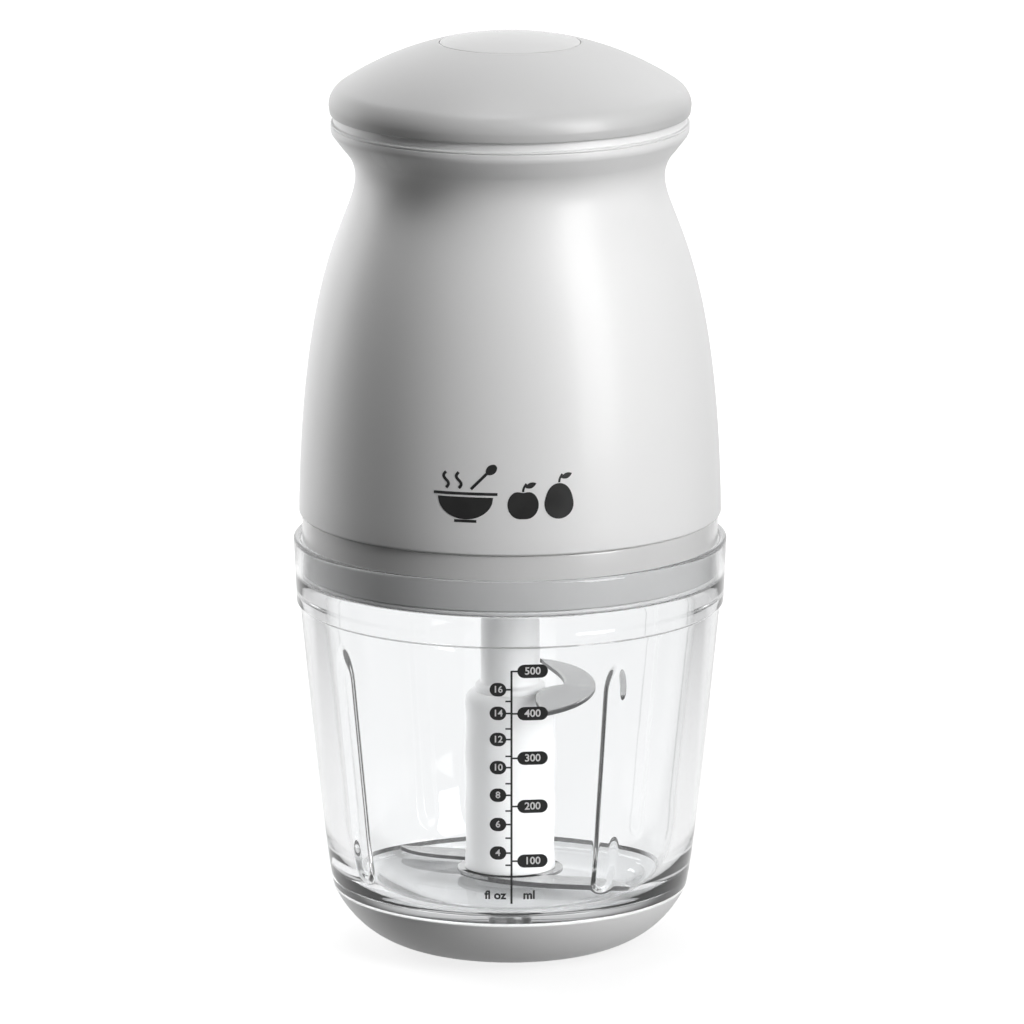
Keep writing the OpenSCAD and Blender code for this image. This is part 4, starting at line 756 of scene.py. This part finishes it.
def made_real(holder):
    """The plain mesh that an object's modifiers or letters give; the object itself goes."""
    depsgraph = bpy.context.evaluated_depsgraph_get()
    mesh = bpy.data.meshes.new_from_object(holder.evaluated_get(depsgraph), depsgraph=depsgraph)
    bpy.data.objects.remove(holder)
    return mesh


def grown(name, tree, mesh=None, **inputs):
    """Runs a Geometry Nodes tree on a mesh, its inputs set by identifier, and returns a plain mesh."""
    mesh = mesh or bpy.data.meshes.new(name + "_start")
    carrier = add_object(name + "_carrier", mesh)
    modifier = carrier.modifiers.new("grow", "NODES")
    modifier.node_group = tree
    sockets = {s.name: s.identifier for s in tree.interface.items_tree
        if s.item_type == "SOCKET" and s.in_out == "INPUT"}
    for key, value in inputs.items():
        modifier[sockets[key.replace("_", " ")]] = value
    carrier.update_tag()
    made = made_real(carrier)
    made.name = name
    return made


def make_bowl():
    air = 0.12 * MM                    # thin gap between the glass and its boot
    skin = boot_curve(BOOT_SIDE_T + air, BOOT_FLOOR_T + air, boot_top - air, 20)
    foot_in_r = bowl_inner_r(floor_z + FOOT_UP) - FOOT_OUT
    rim = 1.1 * MM
    outer = [(0, skin[0][1])] + skin + BOWL_WALL[1:-1]
    top = eased([BOWL_WALL[-2], (wall_top_r, COLLAR_Z, 0.35 * MM),
        (COLLAR_FOOT_R, COLLAR_Z + 0.75 * MM, 0.5 * MM), (rim_r, rim_z, rim), (SEAT_R, rim_z, rim),
        (SEAT_R, seat_z, 0.6 * MM), (SEAT_IN_R, seat_z, 1.2 * MM), (bowl_inner_r(COLLAR_Z), COLLAR_Z)],
        steps=8, closed=False)[1:-1]
    rows = 60
    start = floor_z + FOOT_UP + 0.8 * MM
    wall = [(bowl_inner_r(z), z) for z in (seat_z - 2.5 * MM - (seat_z - 2.5 * MM - start) * i / rows
        for i in range(rows + 1))]
    foot_r, foot_z = foot_in_r + FOOT_OUT, floor_z + FOOT_UP
    foot = curve_points((foot_r, foot_z), (foot_r - 1.2 * MM, floor_z + 0.6 * FOOT_UP),
        (foot_r - 1.5 * MM, floor_z), (foot_in_r, floor_z), 40)
    inside = wall + foot
    outline = outer + top + inside + [(0.012, floor_z), (0, floor_z)]
    columns, rib_half = [], math.radians(6.6)
    for k in range(RIB_COUNT):
        middle = RIB_FIRST + 2 * math.pi * k / RIB_COUNT
        columns += [middle + rib_half * (2 * i / 34 - 1) for i in range(35)]
        free = 2 * math.pi / RIB_COUNT - 2 * rib_half
        columns += [middle + rib_half + free * i / 60 for i in range(1, 60)]
    mesh = to_mesh("bowl_start", turned(outline, columns))
    mark = mesh.attributes.new("inner", "FLOAT", "POINT")
    limits = (floor_z + 0.3 * MM, seat_z - 0.5 * MM)
    for vertex, value in zip(mesh.vertices, mark.data):
        radius = math.hypot(vertex.co.x, vertex.co.y)
        on_wall = limits[0] < vertex.co.z < limits[1] and radius < bowl_inner_r(vertex.co.z) + 0.2 * MM
        value.value = 1.0 if on_wall else 0.0
    mesh = grown("bowl_glass_wall", rib_tree(), mesh, Rib_Count=float(RIB_COUNT), First_Angle=RIB_FIRST,
        Rib_Width=RIB_W, Rib_Height=RIB_H, Low=RIB_LOW, Top=RIB_TOP, Fade=10 * MM,
        Material=FINISH["bowl_glass"])
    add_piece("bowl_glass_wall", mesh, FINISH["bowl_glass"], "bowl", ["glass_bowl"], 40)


def make_boot():
    outer = boot_curve(0, 0, boot_top, 40)
    inner = boot_curve(BOOT_SIDE_T, BOOT_FLOOR_T, boot_top, 24)
    lip = eased([outer[-2], (*outer[-1], 0.8 * MM), (*inner[-1], 0.5 * MM), inner[-2]], closed=False)[1:-1]
    recess_r, recess = 19 * MM, 0.8 * MM
    foot = eased([(0, recess), (recess_r, recess, 0.5 * MM), (recess_r + 0.4 * MM, 0, 0.5 * MM), (FOOT_R, 0)],
        closed=False)
    outline = foot + outer[1:-1] + lip + inner[-2::-1] + [(0, BOOT_FLOOR_T)]
    turned_piece("silicone_boot", outline, "bowl", "boot_silicone", ["base_boot"], 256)


make_bowl()
make_boot()


# ---------------------------------------------------------------- the printed scale
def radius_on(wall, z):
    """Radius of a turned wall at a height, from its outline of (radius, height) going up."""
    for low, high in zip(wall, wall[1:]):
        if low[1] <= z <= high[1]:
            return low[0] + (high[0] - low[0]) * (z - low[1]) / (high[1] - low[1])
    return wall[0][0] if z < wall[0][1] else wall[-1][0]


def wrap_on_wall(mesh, wall, lift):
    """Lays a flat mesh, drawn in X and Z, on the front of a turned wall."""
    for vertex in mesh.vertices:
        radius = radius_on(wall, vertex.co.z) + lift
        turn = vertex.co.x / radius
        vertex.co = (radius * math.sin(turn), -radius * math.cos(turn), vertex.co.z)
    return mesh


def plate(built, x, z, width, height, corner):
    """Adds a flat plate with round corners, cut into columns so that it can bend."""
    columns = 24 if corner else 2
    tops = []
    for i in range(columns + 1):
        dx = -width / 2 * math.cos(math.pi * i / columns)
        over = max(0.0, abs(dx) - (width / 2 - corner))
        dz = height / 2 - corner + math.sqrt(max(0.0, corner ** 2 - over ** 2))
        tops.append((built.verts.new((x + dx, 0, z + dz)), built.verts.new((x + dx, 0, z - dz))))
    for (a, b), (c, d) in zip(tops, tops[1:]):
        built.faces.new((b, d, c, a))


def mark_tree():
    """A row of thin bars at even steps along Z, each Width wide and Thick high."""
    tree, given, out = growth("Scale Ticks",
        [("Count", "Int", 5), ("Step", "Float", 0.01), ("X", "Float", 0.0),
         ("Z", "Float", 0.0), ("Width", "Float", 0.002), ("Thick", "Float", 0.0004)])
    start = node(tree, "ShaderNodeCombineXYZ", X=given["X"], Z=given["Z"])
    step = node(tree, "ShaderNodeCombineXYZ", Z=given["Step"])
    row = node(tree, "GeometryNodeMeshLine", Count=given["Count"], Start_Location=start.outputs[0],
        Offset=step.outputs[0])
    bar = node(tree, "GeometryNodeMeshGrid", Size_X=given["Width"], Size_Y=given["Thick"])
    bar.inputs["Vertices X"].default_value = 5
    bar.inputs["Vertices Y"].default_value = 2
    upright = node(tree, "GeometryNodeTransform", Geometry=bar.outputs["Mesh"])
    upright.inputs["Rotation"].default_value = (math.pi / 2, 0, 0)
    bars = node(tree, "GeometryNodeInstanceOnPoints", Points=row.outputs["Mesh"], Instance=upright.outputs[0])
    return coated(tree, bars.outputs[0], given["Material"], out)


def lettering(text, x, z, height, bold=0.0):
    """Flat text as a mesh in X and Z, centred on a point."""
    font = bpy.data.curves.new("lettering", "FONT")
    font.body = text
    font.align_x = "CENTER"
    font.align_y = "CENTER"
    font.size = height / 0.70
    font.offset = bold * height
    font.resolution_u = 4
    holder = add_object("lettering", font)
    mesh = made_real(holder)
    mesh.transform(Matrix.Translation((x, 0, z)) @ Matrix.Rotation(math.pi / 2, 4, "X"))
    return mesh


def merged(name, meshes):
    """Joins meshes into one."""
    built = bmesh.new()
    for mesh in meshes:
        built.from_mesh(mesh)
    return plain_mesh(name, built)


ML_MARKS = ((500, 91.2), (400, 78.9), (300, 65.9), (200, 51.8), (100, 35.7))
OZ_MARKS = ((16, 85.9), (14, 79.0), (12, 71.4), (10, 63.2), (8, 55.1), (6, 46.5), (4, 38.1))
SCALE_X, PILL_X, DISC_X = 0.40 * MM, 6.25 * MM, -3.35 * MM
LINE_W, TICK_W = 0.58 * MM, 2.0 * MM
# marks, middle of their plates, plate width, height and corner in mm, side of the line
SCALE_SIDES = ((ML_MARKS, PILL_X, (8.5, 3.9, 1.95), 1), (OZ_MARKS, DISC_X, (4.6, 3.95, 1.97), -1))
INK_LIFT, DIGIT_LIFT = 0.05 * MM, 0.09 * MM


def make_scale():
    built = bmesh.new()
    plate(built, SCALE_X, 57.2 * MM, LINE_W, 68.4 * MM, 0)
    for marks, x, size, side in SCALE_SIDES:
        for _, z in marks:
            plate(built, x, z * MM, *(value * MM for value in size))
            plate(built, SCALE_X + side * TICK_W / 2, z * MM, TICK_W, 0.5 * MM, 0)
    bmesh.ops.subdivide_edges(built, edges=[e for e in built.edges if abs(e.verts[0].co.z - e.verts[1].co.z)
        > 20 * MM], cuts=40, use_grid_fill=True)
    ticks = [grown("ticks", mark_tree(), None, Count=7, Step=-8.0 * MM, X=SCALE_X - 0.8 * MM, Z=82.5 * MM,
        Width=1.8 * MM, Thick=0.48 * MM, Material=INK_BLACK)]
    units = [lettering("ml", 5.3 * MM, 25.5 * MM, 2.4 * MM, 0.05),
        lettering("fl oz", -4.1 * MM, 25.5 * MM, 2.4 * MM, 0.05)]
    plates = plain_mesh("scale_marks", built)
    ink = wrap_on_wall(merged("scale_ink", [plates, *ticks, *units]), BOWL_WALL, INK_LIFT)
    ink.materials.clear()
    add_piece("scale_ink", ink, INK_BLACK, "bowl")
    digits = [lettering(str(volume), x, z * MM, height * MM, 0.03)
        for (marks, x, _, _), height in zip(SCALE_SIDES, (2.1, 1.9)) for volume, z in marks]
    add_piece("scale_digits", wrap_on_wall(merged("scale_digits", digits), BOWL_WALL, DIGIT_LIFT), INK_WHITE,
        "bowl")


make_scale()


# ---------------------------------------------------------------- the blade unit
def make_hub():
    shoulder = high_blade_z - 2.8 * MM
    wave = shoulder - 3 * MM - sleeve_low - 1.6 * MM
    bumps = [(sleeve_r - 0.35 * MM * (0.5 - 0.5 * math.cos(math.pi * (z - sleeve_low) / (8.5 * MM))), z)
        for z in (sleeve_low + 1.6 * MM + wave * i / 40 for i in range(41))]
    crest = arc_points((sleeve_r - 3.4 * MM, shoulder - 0.6 * MM), 3.4 * MM, 0, 90, 8)
    outline = eased([(SPIGOT_R, sleeve_low), (sleeve_r, sleeve_low, 0.4 * MM), bumps[0]], closed=False)[:-1] \
        + bumps + crest + [(SPIGOT_R, crest[-1][1])]
    turned_piece("hub_sleeve_shell", outline, "blade_unit", "hub_white", ["hub_sleeve"], 160)
    clamp_z = high_blade_z + blade_t
    bore = 4.7 * MM
    socket_r, socket_z = 6.6 * MM, core_top - 11 * MM
    cover_r, cover_z = clamp_r + 0.3 * MM, high_blade_z - 0.1 * MM
    outline = eased([(bore, core_low), (SPIGOT_R, core_low, 0.2 * MM), (SPIGOT_R, cover_z),
        (cover_r, cover_z, 0.3 * MM),
        (cover_r, clamp_z + 0.3 * MM, 0.8 * MM), (SHAFT_R, clamp_z + 1.1 * MM, 0.6 * MM),
        (SHAFT_R, core_top, 0.5 * MM), (socket_r, core_top, 0.2 * MM), (socket_r, socket_z),
        (bore, socket_z)])
    turned_piece("hub_shaft", outline, "blade_unit", "hub_white", ["hub_core"], 128)
    outline = eased([(bore, retainer_low), (retainer_r, retainer_low, 0.2 * MM),
        (retainer_r, low_blade_z, 0.2 * MM), (bore, low_blade_z)])
    turned_piece("hub_retainer", outline, "blade_unit", "hub_white", ["blade_retainer"], 96)


def wing(built, lead, trail, z, grind, edge_t=0.6 * MM, drop=0.0, across=12):
    """A ground blade between its leading and trailing edges, both from root to tip."""
    rows = []
    for (lx, ly), (tx, ty) in zip(lead, trail):
        width = math.hypot(tx - lx, ty - ly)
        row = []
        for k in range(across + 1):
            v = (k / across) ** 2.5
            rise = min(1.0, v * width / grind)
            rise = edge_t + (blade_t - edge_t) * rise
            row.append((lx + (tx - lx) * v, ly + (ty - ly) * v, rise))
        rows.append(row)
    upper = [[built.verts.new((x, y, z + rise)) for x, y, rise in row] for row in rows]
    under = [[built.verts.new((x, y, z - (drop if k < 3 else 0))) for k, (x, y, rise) in enumerate(row)]
        for row in rows]
    for sheet, flip in ((upper, False), (under, True)):
        for row, following in zip(sheet, sheet[1:]):
            for k in range(across):
                quad = (row[k], row[k + 1], following[k + 1], following[k])
                built.faces.new(quad[::-1] if flip else quad)
    border = [(0, k) for k in range(across + 1)] + [(i, across) for i in range(1, len(rows))] \
        + [(len(rows) - 1, k) for k in range(across - 1, -1, -1)] + [(i, 0)
        for i in range(len(rows) - 2, 0, -1)]
    for (i, j), (p, q) in zip(border, border[1:] + border[:1]):
        face = built.faces.new((upper[i][j], under[i][j], under[p][q], upper[p][q]))
        # edge faces take the second material, the steel darkened as painted shade
        face.material_index = 1


def ring_section(outer, z):
    return eased([(SPIGOT_R, z), (outer, z, 0.15 * MM), (outer, z + blade_t, 0.15 * MM),
        (SPIGOT_R, z + blade_t)])


def half_turn(points, turn):
    c, s = math.cos(turn), math.sin(turn)
    return [(x * c - y * s, x * s + y * c) for x, y in points]


def add_blade(name, built, replaced):
    mesh = to_mesh(name, built)
    mesh.materials.append(FINISH["stainless_steel"])
    # second material: the edge steel darkened as painted shade
    mesh.materials.append(EDGE_STEEL_PAINTED_SHADE)
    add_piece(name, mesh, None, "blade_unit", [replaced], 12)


def make_blades():
    s = LOW_REACH
    tip = (0.787 * s, -0.617 * s)
    lead = curve_points((-0.34 * s, -0.11 * s), (-0.16 * s, -0.46 * s), (0.36 * s, -0.59 * s), tip, 36)
    trail = curve_points((0.15 * s, -0.255 * s), (0.42 * s, -0.33 * s), (0.72 * s, -0.36 * s), tip, 36)
    lead[-1] = (tip[0] - 0.25 * MM, tip[1] - 0.05 * MM)
    trail[-1] = (tip[0] - 0.05 * MM, tip[1] + 0.25 * MM)
    built = turned(ring_section(RING_R, low_blade_z), count=128)
    for turn in (0, math.pi):
        wing(built, half_turn(lead, turn), half_turn(trail, turn), low_blade_z, 0.3 * MM, 1.2 * MM, 0.7 * MM)
    add_blade("lower_wing_blade", built, "lower_blade")
    s = HIGH_REACH
    front, back = (0.285 * s, -0.958 * s), (0.27 * s, 0.93 * s)
    lead = curve_points(front, (0.86 * s, -0.51 * s), (0.88 * s, 0.66 * s), back, 48)
    root = curve_points(front, (0.10 * s, -0.25 * s), (0.30 * s, -0.06 * s), (0.455 * s, 0), 24)
    trail = root + curve_points((0.455 * s, 0), (0.49 * s, 0.36 * s), (0.31 * s, 0.66 * s), back, 24)[1:]
    trail[0] = (front[0] - 0.3 * MM, front[1] + 0.5 * MM)
    trail[-1] = (back[0] - 0.3 * MM, back[1] - 0.3 * MM)
    built = turned(ring_section(clamp_r, high_blade_z), count=96)
    wing(built, lead, trail, high_blade_z, 0.4 * MM, 0.95 * MM, across=16)
    add_blade("upper_wing_blade", built, "upper_blade")


make_hub()
make_blades()


# ---------------------------------------------------------------- the lid
def make_lid():
    hole, wall = 10.5 * MM, 3 * MM
    recess = lid_low + wall
    foot_r, ledge = lid_r - 3.7 * MM, seal_top + 0.05 * MM
    outline = eased([(hole, lid_low), (foot_r, lid_low, 0.3 * MM),
        (foot_r, ledge, 0.2 * MM),
        (lid_r, ledge, 0.4 * MM), (lid_r, lid_top, 0.7 * MM),
        (lid_r - wall, lid_top, 0.6 * MM),
        (lid_r - wall, recess, 1.0 * MM), (hole, recess)])
    turned_piece("lid_shell", outline, "lid_group", "lid_grey", ["lid"], 256)
    seal_in_r = seal_r - 3.5 * MM
    outline = eased([(seal_in_r, seat_z, 0.3 * MM), (seal_r, seat_z, 0.65 * MM),
        (seal_r, seal_top, 0.65 * MM),
        (seal_in_r, seal_top, 0.3 * MM)])
    turned_piece("lid_seal_ring", outline, "lid_group", "seal_silicone", ["lid_seal"], 192)


make_lid()


# ---------------------------------------------------------------- the motor unit's shell
BELL = curve_points((housing_r, lid_top), (housing_r - 1.1 * MM, lid_top + 75 * MM),
    (NECK_R, NECK_Z - 11.9 * MM),
    (NECK_R, NECK_Z), 72)


def make_housing():
    mid = NECK_R + FLARE_R
    end = math.radians(FLARE_END)
    flare = [(mid - FLARE_R * math.cos(end * i / 20), NECK_Z + FLARE_R * math.sin(end * i / 20))
        for i in range(1, 21)]
    inner_r = GUIDE_R - 2 * MM
    inner_end = math.acos((mid - inner_r) / (FLARE_R + WALL_T))
    inner_flare = [(mid - (FLARE_R + WALL_T) * math.cos(inner_end * i / 12),
        NECK_Z + (FLARE_R + WALL_T) * math.sin(inner_end * i / 12)) for i in range(12, 0, -1)]
    lip_low = flare[-1][1] + 1.3 * (lip_r - flare[-1][0])
    lip = eased([flare[-1], (lip_r, lip_low, 3 * MM), (lip_r, LIP_TOP, 0.3 * MM),
        (inner_r, LIP_TOP, 0.2 * MM),
        inner_flare[0]], steps=8, closed=False)[1:-1]
    inside = [(r - WALL_T, z) for r, z in BELL[::-3]]
    foot = eased([(inside[-1][0], lid_top + 2 * MM), (inside[-1][0], lid_top, 0.4 * MM),
        (housing_r, lid_top, 0.7 * MM),
        BELL[2]], closed=False)[1:-1]
    outline = foot + BELL[2:] + flare + lip + inner_flare + inside[:-1]
    turned_piece("housing_bell", outline, "motor_unit", "housing_white", ["housing"], 256)


def make_collar():
    wall_in = GUIDE_R - 1.8 * MM
    deck_top = deck_z + 2.2 * MM
    flange_top = lip_z + FLANGE_T
    seat_r = GUIDE_R - 2.1 * MM
    outline = eased([(0, deck_z), (seat_r, deck_z, 0.3 * MM), (seat_r, LIP_TOP + 0.08 * MM),
        (lip_r, LIP_TOP + 0.08 * MM, 0.15 * MM),
        (lip_r, flange_top, 0.25 * MM), (GUIDE_R, flange_top, 0.4 * MM), (GUIDE_R, guide_top, 0.4 * MM),
        (wall_in, guide_top, 0.4 * MM), (wall_in, deck_top, 0.8 * MM), (0, deck_top)], closed=False)
    turned_piece("guide_collar_ring", outline, "motor_unit", "housing_white", ["guide_collar"], 256)


def turned_on_y(outline, centre, count=96):
    """A bmesh turned about an axis along +Y through a point; heights run along Y."""
    built = turned(outline, count=count)
    bmesh.ops.transform(built, matrix=Matrix.Translation(centre) @ Matrix.Rotation(-math.pi / 2, 4, "X"),
        verts=built.verts)
    return built


def make_cord_bush():
    entry_z = (bush_front.z + bush_back.z) / 2
    length = bush_back.y - bush_front.y
    lip, nose = 1.6 * MM, 3.4 * MM
    flange_r = BUSH_NECK_R + lip
    neck = length - nose - lip
    nose_r = BUSH_NECK_R - 1 * MM
    outline = eased([(CORD_BORE_R, 0, 0.4 * MM), (flange_r, 0, 0.5 * MM), (flange_r, lip, 0.4 * MM),
        (BUSH_NECK_R, lip),
        (BUSH_NECK_R, neck - 0.02 * MM), (flange_r, neck, 0.5 * MM), (flange_r, neck + lip, 0.8 * MM),
        (nose_r + 0.2 * MM, neck + lip + 0.3 * MM, 0.3 * MM), (nose_r, neck + lip + 1.2 * MM, 0.2 * MM),
        (nose_r - 0.5 * MM, neck + lip + 1.6 * MM, 0.2 * MM), (nose_r - 0.1 * MM, neck + lip + 2.1 * MM,
        0.2 * MM),
        (nose_r - 0.2 * MM, length, 0.5 * MM), (CORD_BORE_R, length, 0.6 * MM)])
    built = turned_on_y(outline, (0, bush_front.y, entry_z))
    add_piece("cord_bush_rubber", to_mesh("cord_bush_rubber", built), FINISH["bush_rubber"], "motor_unit",
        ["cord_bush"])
    pad_r = BUSH_NECK_R + 3 * MM
    pad_end = bush_back.y - nose - lip
    start = radius_on(BELL, entry_z + pad_r) - 6 * MM
    outline = eased([(BUSH_NECK_R, 0), (pad_r + 0.5 * MM, 0), (pad_r, pad_end - start, 0.8 * MM),
        (BUSH_NECK_R, pad_end - start, 0.3 * MM)])
    built = turned_on_y(outline, (0, start, entry_z))
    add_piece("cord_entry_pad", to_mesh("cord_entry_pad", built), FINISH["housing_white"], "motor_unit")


make_housing()
make_collar()
make_cord_bush()


# ---------------------------------------------------------------- the printed food marks
def make_pictogram():
    """A steaming bowl with a spoon, an apple and a pear, printed on the front of the housing."""
    line, ink = 0.8 * MM, 0.06 * MM
    bowl_x, bowl_z, bowl_r = -12.4 * MM, 140.2 * MM, 7.8 * MM
    built = bmesh.new()

    def strip(points, widths):
        sides = []
        for i, (x, z) in enumerate(points):
            a, b = points[max(0, i - 1)], points[min(len(points) - 1, i + 1)]
            along = Vector((b[0] - a[0], b[1] - a[1])).normalized()
            w = widths[i] if isinstance(widths, list) else widths
            sides.append((built.verts.new((x - along.y * w / 2, 0, z + along.x * w / 2)),
                built.verts.new((x + along.y * w / 2, 0, z - along.x * w / 2))))
        for (a, b), (c, d) in zip(sides, sides[1:]):
            built.faces.new((a, b, d, c))

    def fruit(x, z, radius_at, count=64):
        """A filled round shape whose radius is given by the angle from straight up."""
        rings = [[built.verts.new((x + share * radius_at(t) * math.sin(t), 0,
            z + share * radius_at(t) * math.cos(t)))
            for t in (2 * math.pi * i / count for i in range(count))] for share in (0.5, 1.0)]
        middle = built.verts.new((x, 0, z))
        for i in range(count):
            j = (i + 1) % count
            built.faces.new((middle, rings[0][j], rings[0][i]))
            built.faces.new((rings[0][i], rings[0][j], rings[1][j], rings[1][i]))

    for i in range(40):
        x, u = (bowl_r * (2 * k / 40 - 1) for k in (i, i + 1))
        d, e = (0.8 * math.sqrt(max(0.0, bowl_r ** 2 - v ** 2)) for v in (x, u))
        built.faces.new([built.verts.new((bowl_x + p, 0, bowl_z + q)) for p,
            q in ((x, 0), (x, -d), (u, -e), (u, 0))])
    strip([(bowl_x + 0.4 * bowl_r * k, bowl_z - 0.86 * bowl_r) for k in (-1, 0, 1)], line)
    strip([(bowl_x + 1.15 * bowl_r * (k / 10 - 1), bowl_z + 0.12 * bowl_r) for k in range(21)], line)
    handle = [(bowl_x + 1.6 * MM + 4.4 * MM * i / 12, bowl_z + 2.2 * MM + 4.4 * MM * i / 12)
        for i in range(13)]
    strip(handle, line)
    strip([(handle[-1][0] + 2.6 * MM * i / 12, handle[-1][1] + 2.2 * MM * i / 12) for i in range(13)],
        [line + 1.8 * MM * math.sin(math.pi * i / 12) ** 0.7 for i in range(13)])
    for x in (-5.4 * MM, -1.8 * MM):
        strip([(bowl_x + x + 0.7 * MM * math.sin(2 * math.pi * i / 16), bowl_z + 2.4 * MM + 4.4 * MM * i / 16)
            for i in range(17)], line)
    apple_x, pear_x, fruit_z = 3.6 * MM, 13.6 * MM, 138.2 * MM
    fruit(apple_x, fruit_z, lambda t: 4.3 * MM * (1 - 0.22 * math.exp(-(math.sin(t / 2) / 0.22) ** 2)
        - 0.08 * math.exp(-(math.cos(t / 2) / 0.2) ** 2)))
    fruit(pear_x, fruit_z, lambda t: 4.1 * MM * (1 + 0.42 * max(0.0, math.cos(t)) ** 3))
    for x, top in ((apple_x, 3.6 * MM), (pear_x, 6.0 * MM)):
        strip([(x + 0.9 * MM * (i / 8) ** 2, fruit_z + top + 2.3 * MM * i / 8) for i in range(9)],
            0.75 * line)
        strip([(x + 0.6 * MM + 3.0 * MM * i / 12, fruit_z + top + 1.2 * MM + 1.2 * MM * i / 12)
            for i in range(13)],
            [1.5 * MM * math.sin(math.pi * i / 12) ** 0.8 + 0.05 * MM for i in range(13)])
    bmesh.ops.remove_doubles(built, verts=built.verts, dist=1e-6)
    mesh = plain_mesh("food_marks", built)
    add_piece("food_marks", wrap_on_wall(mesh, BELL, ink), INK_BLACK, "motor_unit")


make_pictogram()


# ---------------------------------------------------------------- the button
def make_button():
    mid_r = button_r - EDGE_R
    centre = EDGE_Z - math.sqrt((CROWN_R - EDGE_R) ** 2 - mid_r ** 2)
    turn = math.degrees(math.acos(mid_r / (CROWN_R - EDGE_R)))
    edge = arc_points((mid_r, EDGE_Z), EDGE_R, turn, 0, 24)

    def dome(radius, start, end, count):
        return [(start + (end - start) * i / count, centre + math.sqrt(radius ** 2
            - (start + (end - start) * i / count) ** 2)) for i in range(count + 1)]

    groove = 0.12 * MM
    outline = dome(CROWN_R - 0.9 * MM, 0, inlay_r + groove, 12)
    outline += dome(CROWN_R - 0.12 * MM, inlay_r + groove, inlay_r + groove, 1)[:1]
    outline += dome(CROWN_R, inlay_r + groove + 0.25 * MM, edge[0][0], 48)[:-1] + edge
    inner_r = GUIDE_R + 0.3 * MM
    outline += eased([edge[-1], (button_r - 0.3 * MM, SKIRT_Z, 0.5 * MM), (inner_r, SKIRT_Z, 0.4 * MM),
        (inner_r, EDGE_Z)],
        closed=False)[1:]
    inner_edge = arc_points((mid_r, EDGE_Z), EDGE_R - (button_r - inner_r), 0, turn - 4, 8)
    outline += inner_edge[1:] + dome(CROWN_R - 2.4 * MM, mid_r, 0, 16)
    turned_piece("button_dome", outline, "button", "button_grey", ["button_cap"], 256, 28)
    top = dome(CROWN_R - 0.04 * MM, 0, inlay_r, 24)
    under = dome(CROWN_R - 0.8 * MM, inlay_r, 0, 6)
    outline = top[:-1] + eased([top[-2], (*top[-1], 0.35 * MM), under[0], under[1]],
        closed=False)[1:-1] + under[1:]
    turned_piece("button_inlay_disc", outline, "button", "inlay_grey", ["button_inlay"], 192)


def coil_tree():
    """Upright coil springs at even steps round the axis."""
    tree, given, out = growth("Coil Springs",
        [("Count", "Int", 3), ("From Axis", "Float", 0.03),
        ("Coil Radius", "Float", 0.005),
         ("Wire Radius", "Float", 0.0005), ("Turns", "Float", 5.0), ("Foot", "Float", 0.0),
         ("Height", "Float", 0.01)])
    path = node(tree, "GeometryNodeCurveSpiral", Resolution=32, Rotations=given["Turns"],
        Start_Radius=given["Coil Radius"], End_Radius=given["Coil Radius"], Height=given["Height"])
    wire = node(tree, "GeometryNodeCurvePrimitiveCircle", Resolution=12, Radius=given["Wire Radius"])
    coil = node(tree, "GeometryNodeCurveToMesh", Curve=path.outputs[0], Profile_Curve=wire.outputs["Curve"],
        Fill_Caps=True)
    ring = node(tree, "GeometryNodeMeshCircle", Vertices=given["Count"], Radius=given["From Axis"])
    foot = node(tree, "ShaderNodeCombineXYZ", Z=given["Foot"])
    standing = node(tree, "GeometryNodeTransform", Geometry=ring.outputs[0], Translation=foot.outputs[0])
    standing.inputs["Rotation"].default_value = (0, 0, math.pi / 2)
    coils = node(tree, "GeometryNodeInstanceOnPoints", Points=standing.outputs[0], Instance=coil.outputs[0])
    return coated(tree, coils.outputs[0], given["Material"], out)


def make_return_springs():
    """Coils that stand on the guide collar."""
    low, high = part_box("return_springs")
    wire_r, coil_r = 0.5 * MM, 5 * MM
    mesh = grown("return_coils", coil_tree(), None, Count=3, From_Axis=high.y - coil_r - wire_r,
        Coil_Radius=coil_r,
        Wire_Radius=wire_r, Turns=5.0, Foot=low.z + wire_r, Height=high.z - low.z - 2 * wire_r,
        Material=FINISH["spring_steel"])
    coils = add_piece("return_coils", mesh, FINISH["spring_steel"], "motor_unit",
        ["return_springs"])
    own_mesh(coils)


make_button()
make_return_springs()
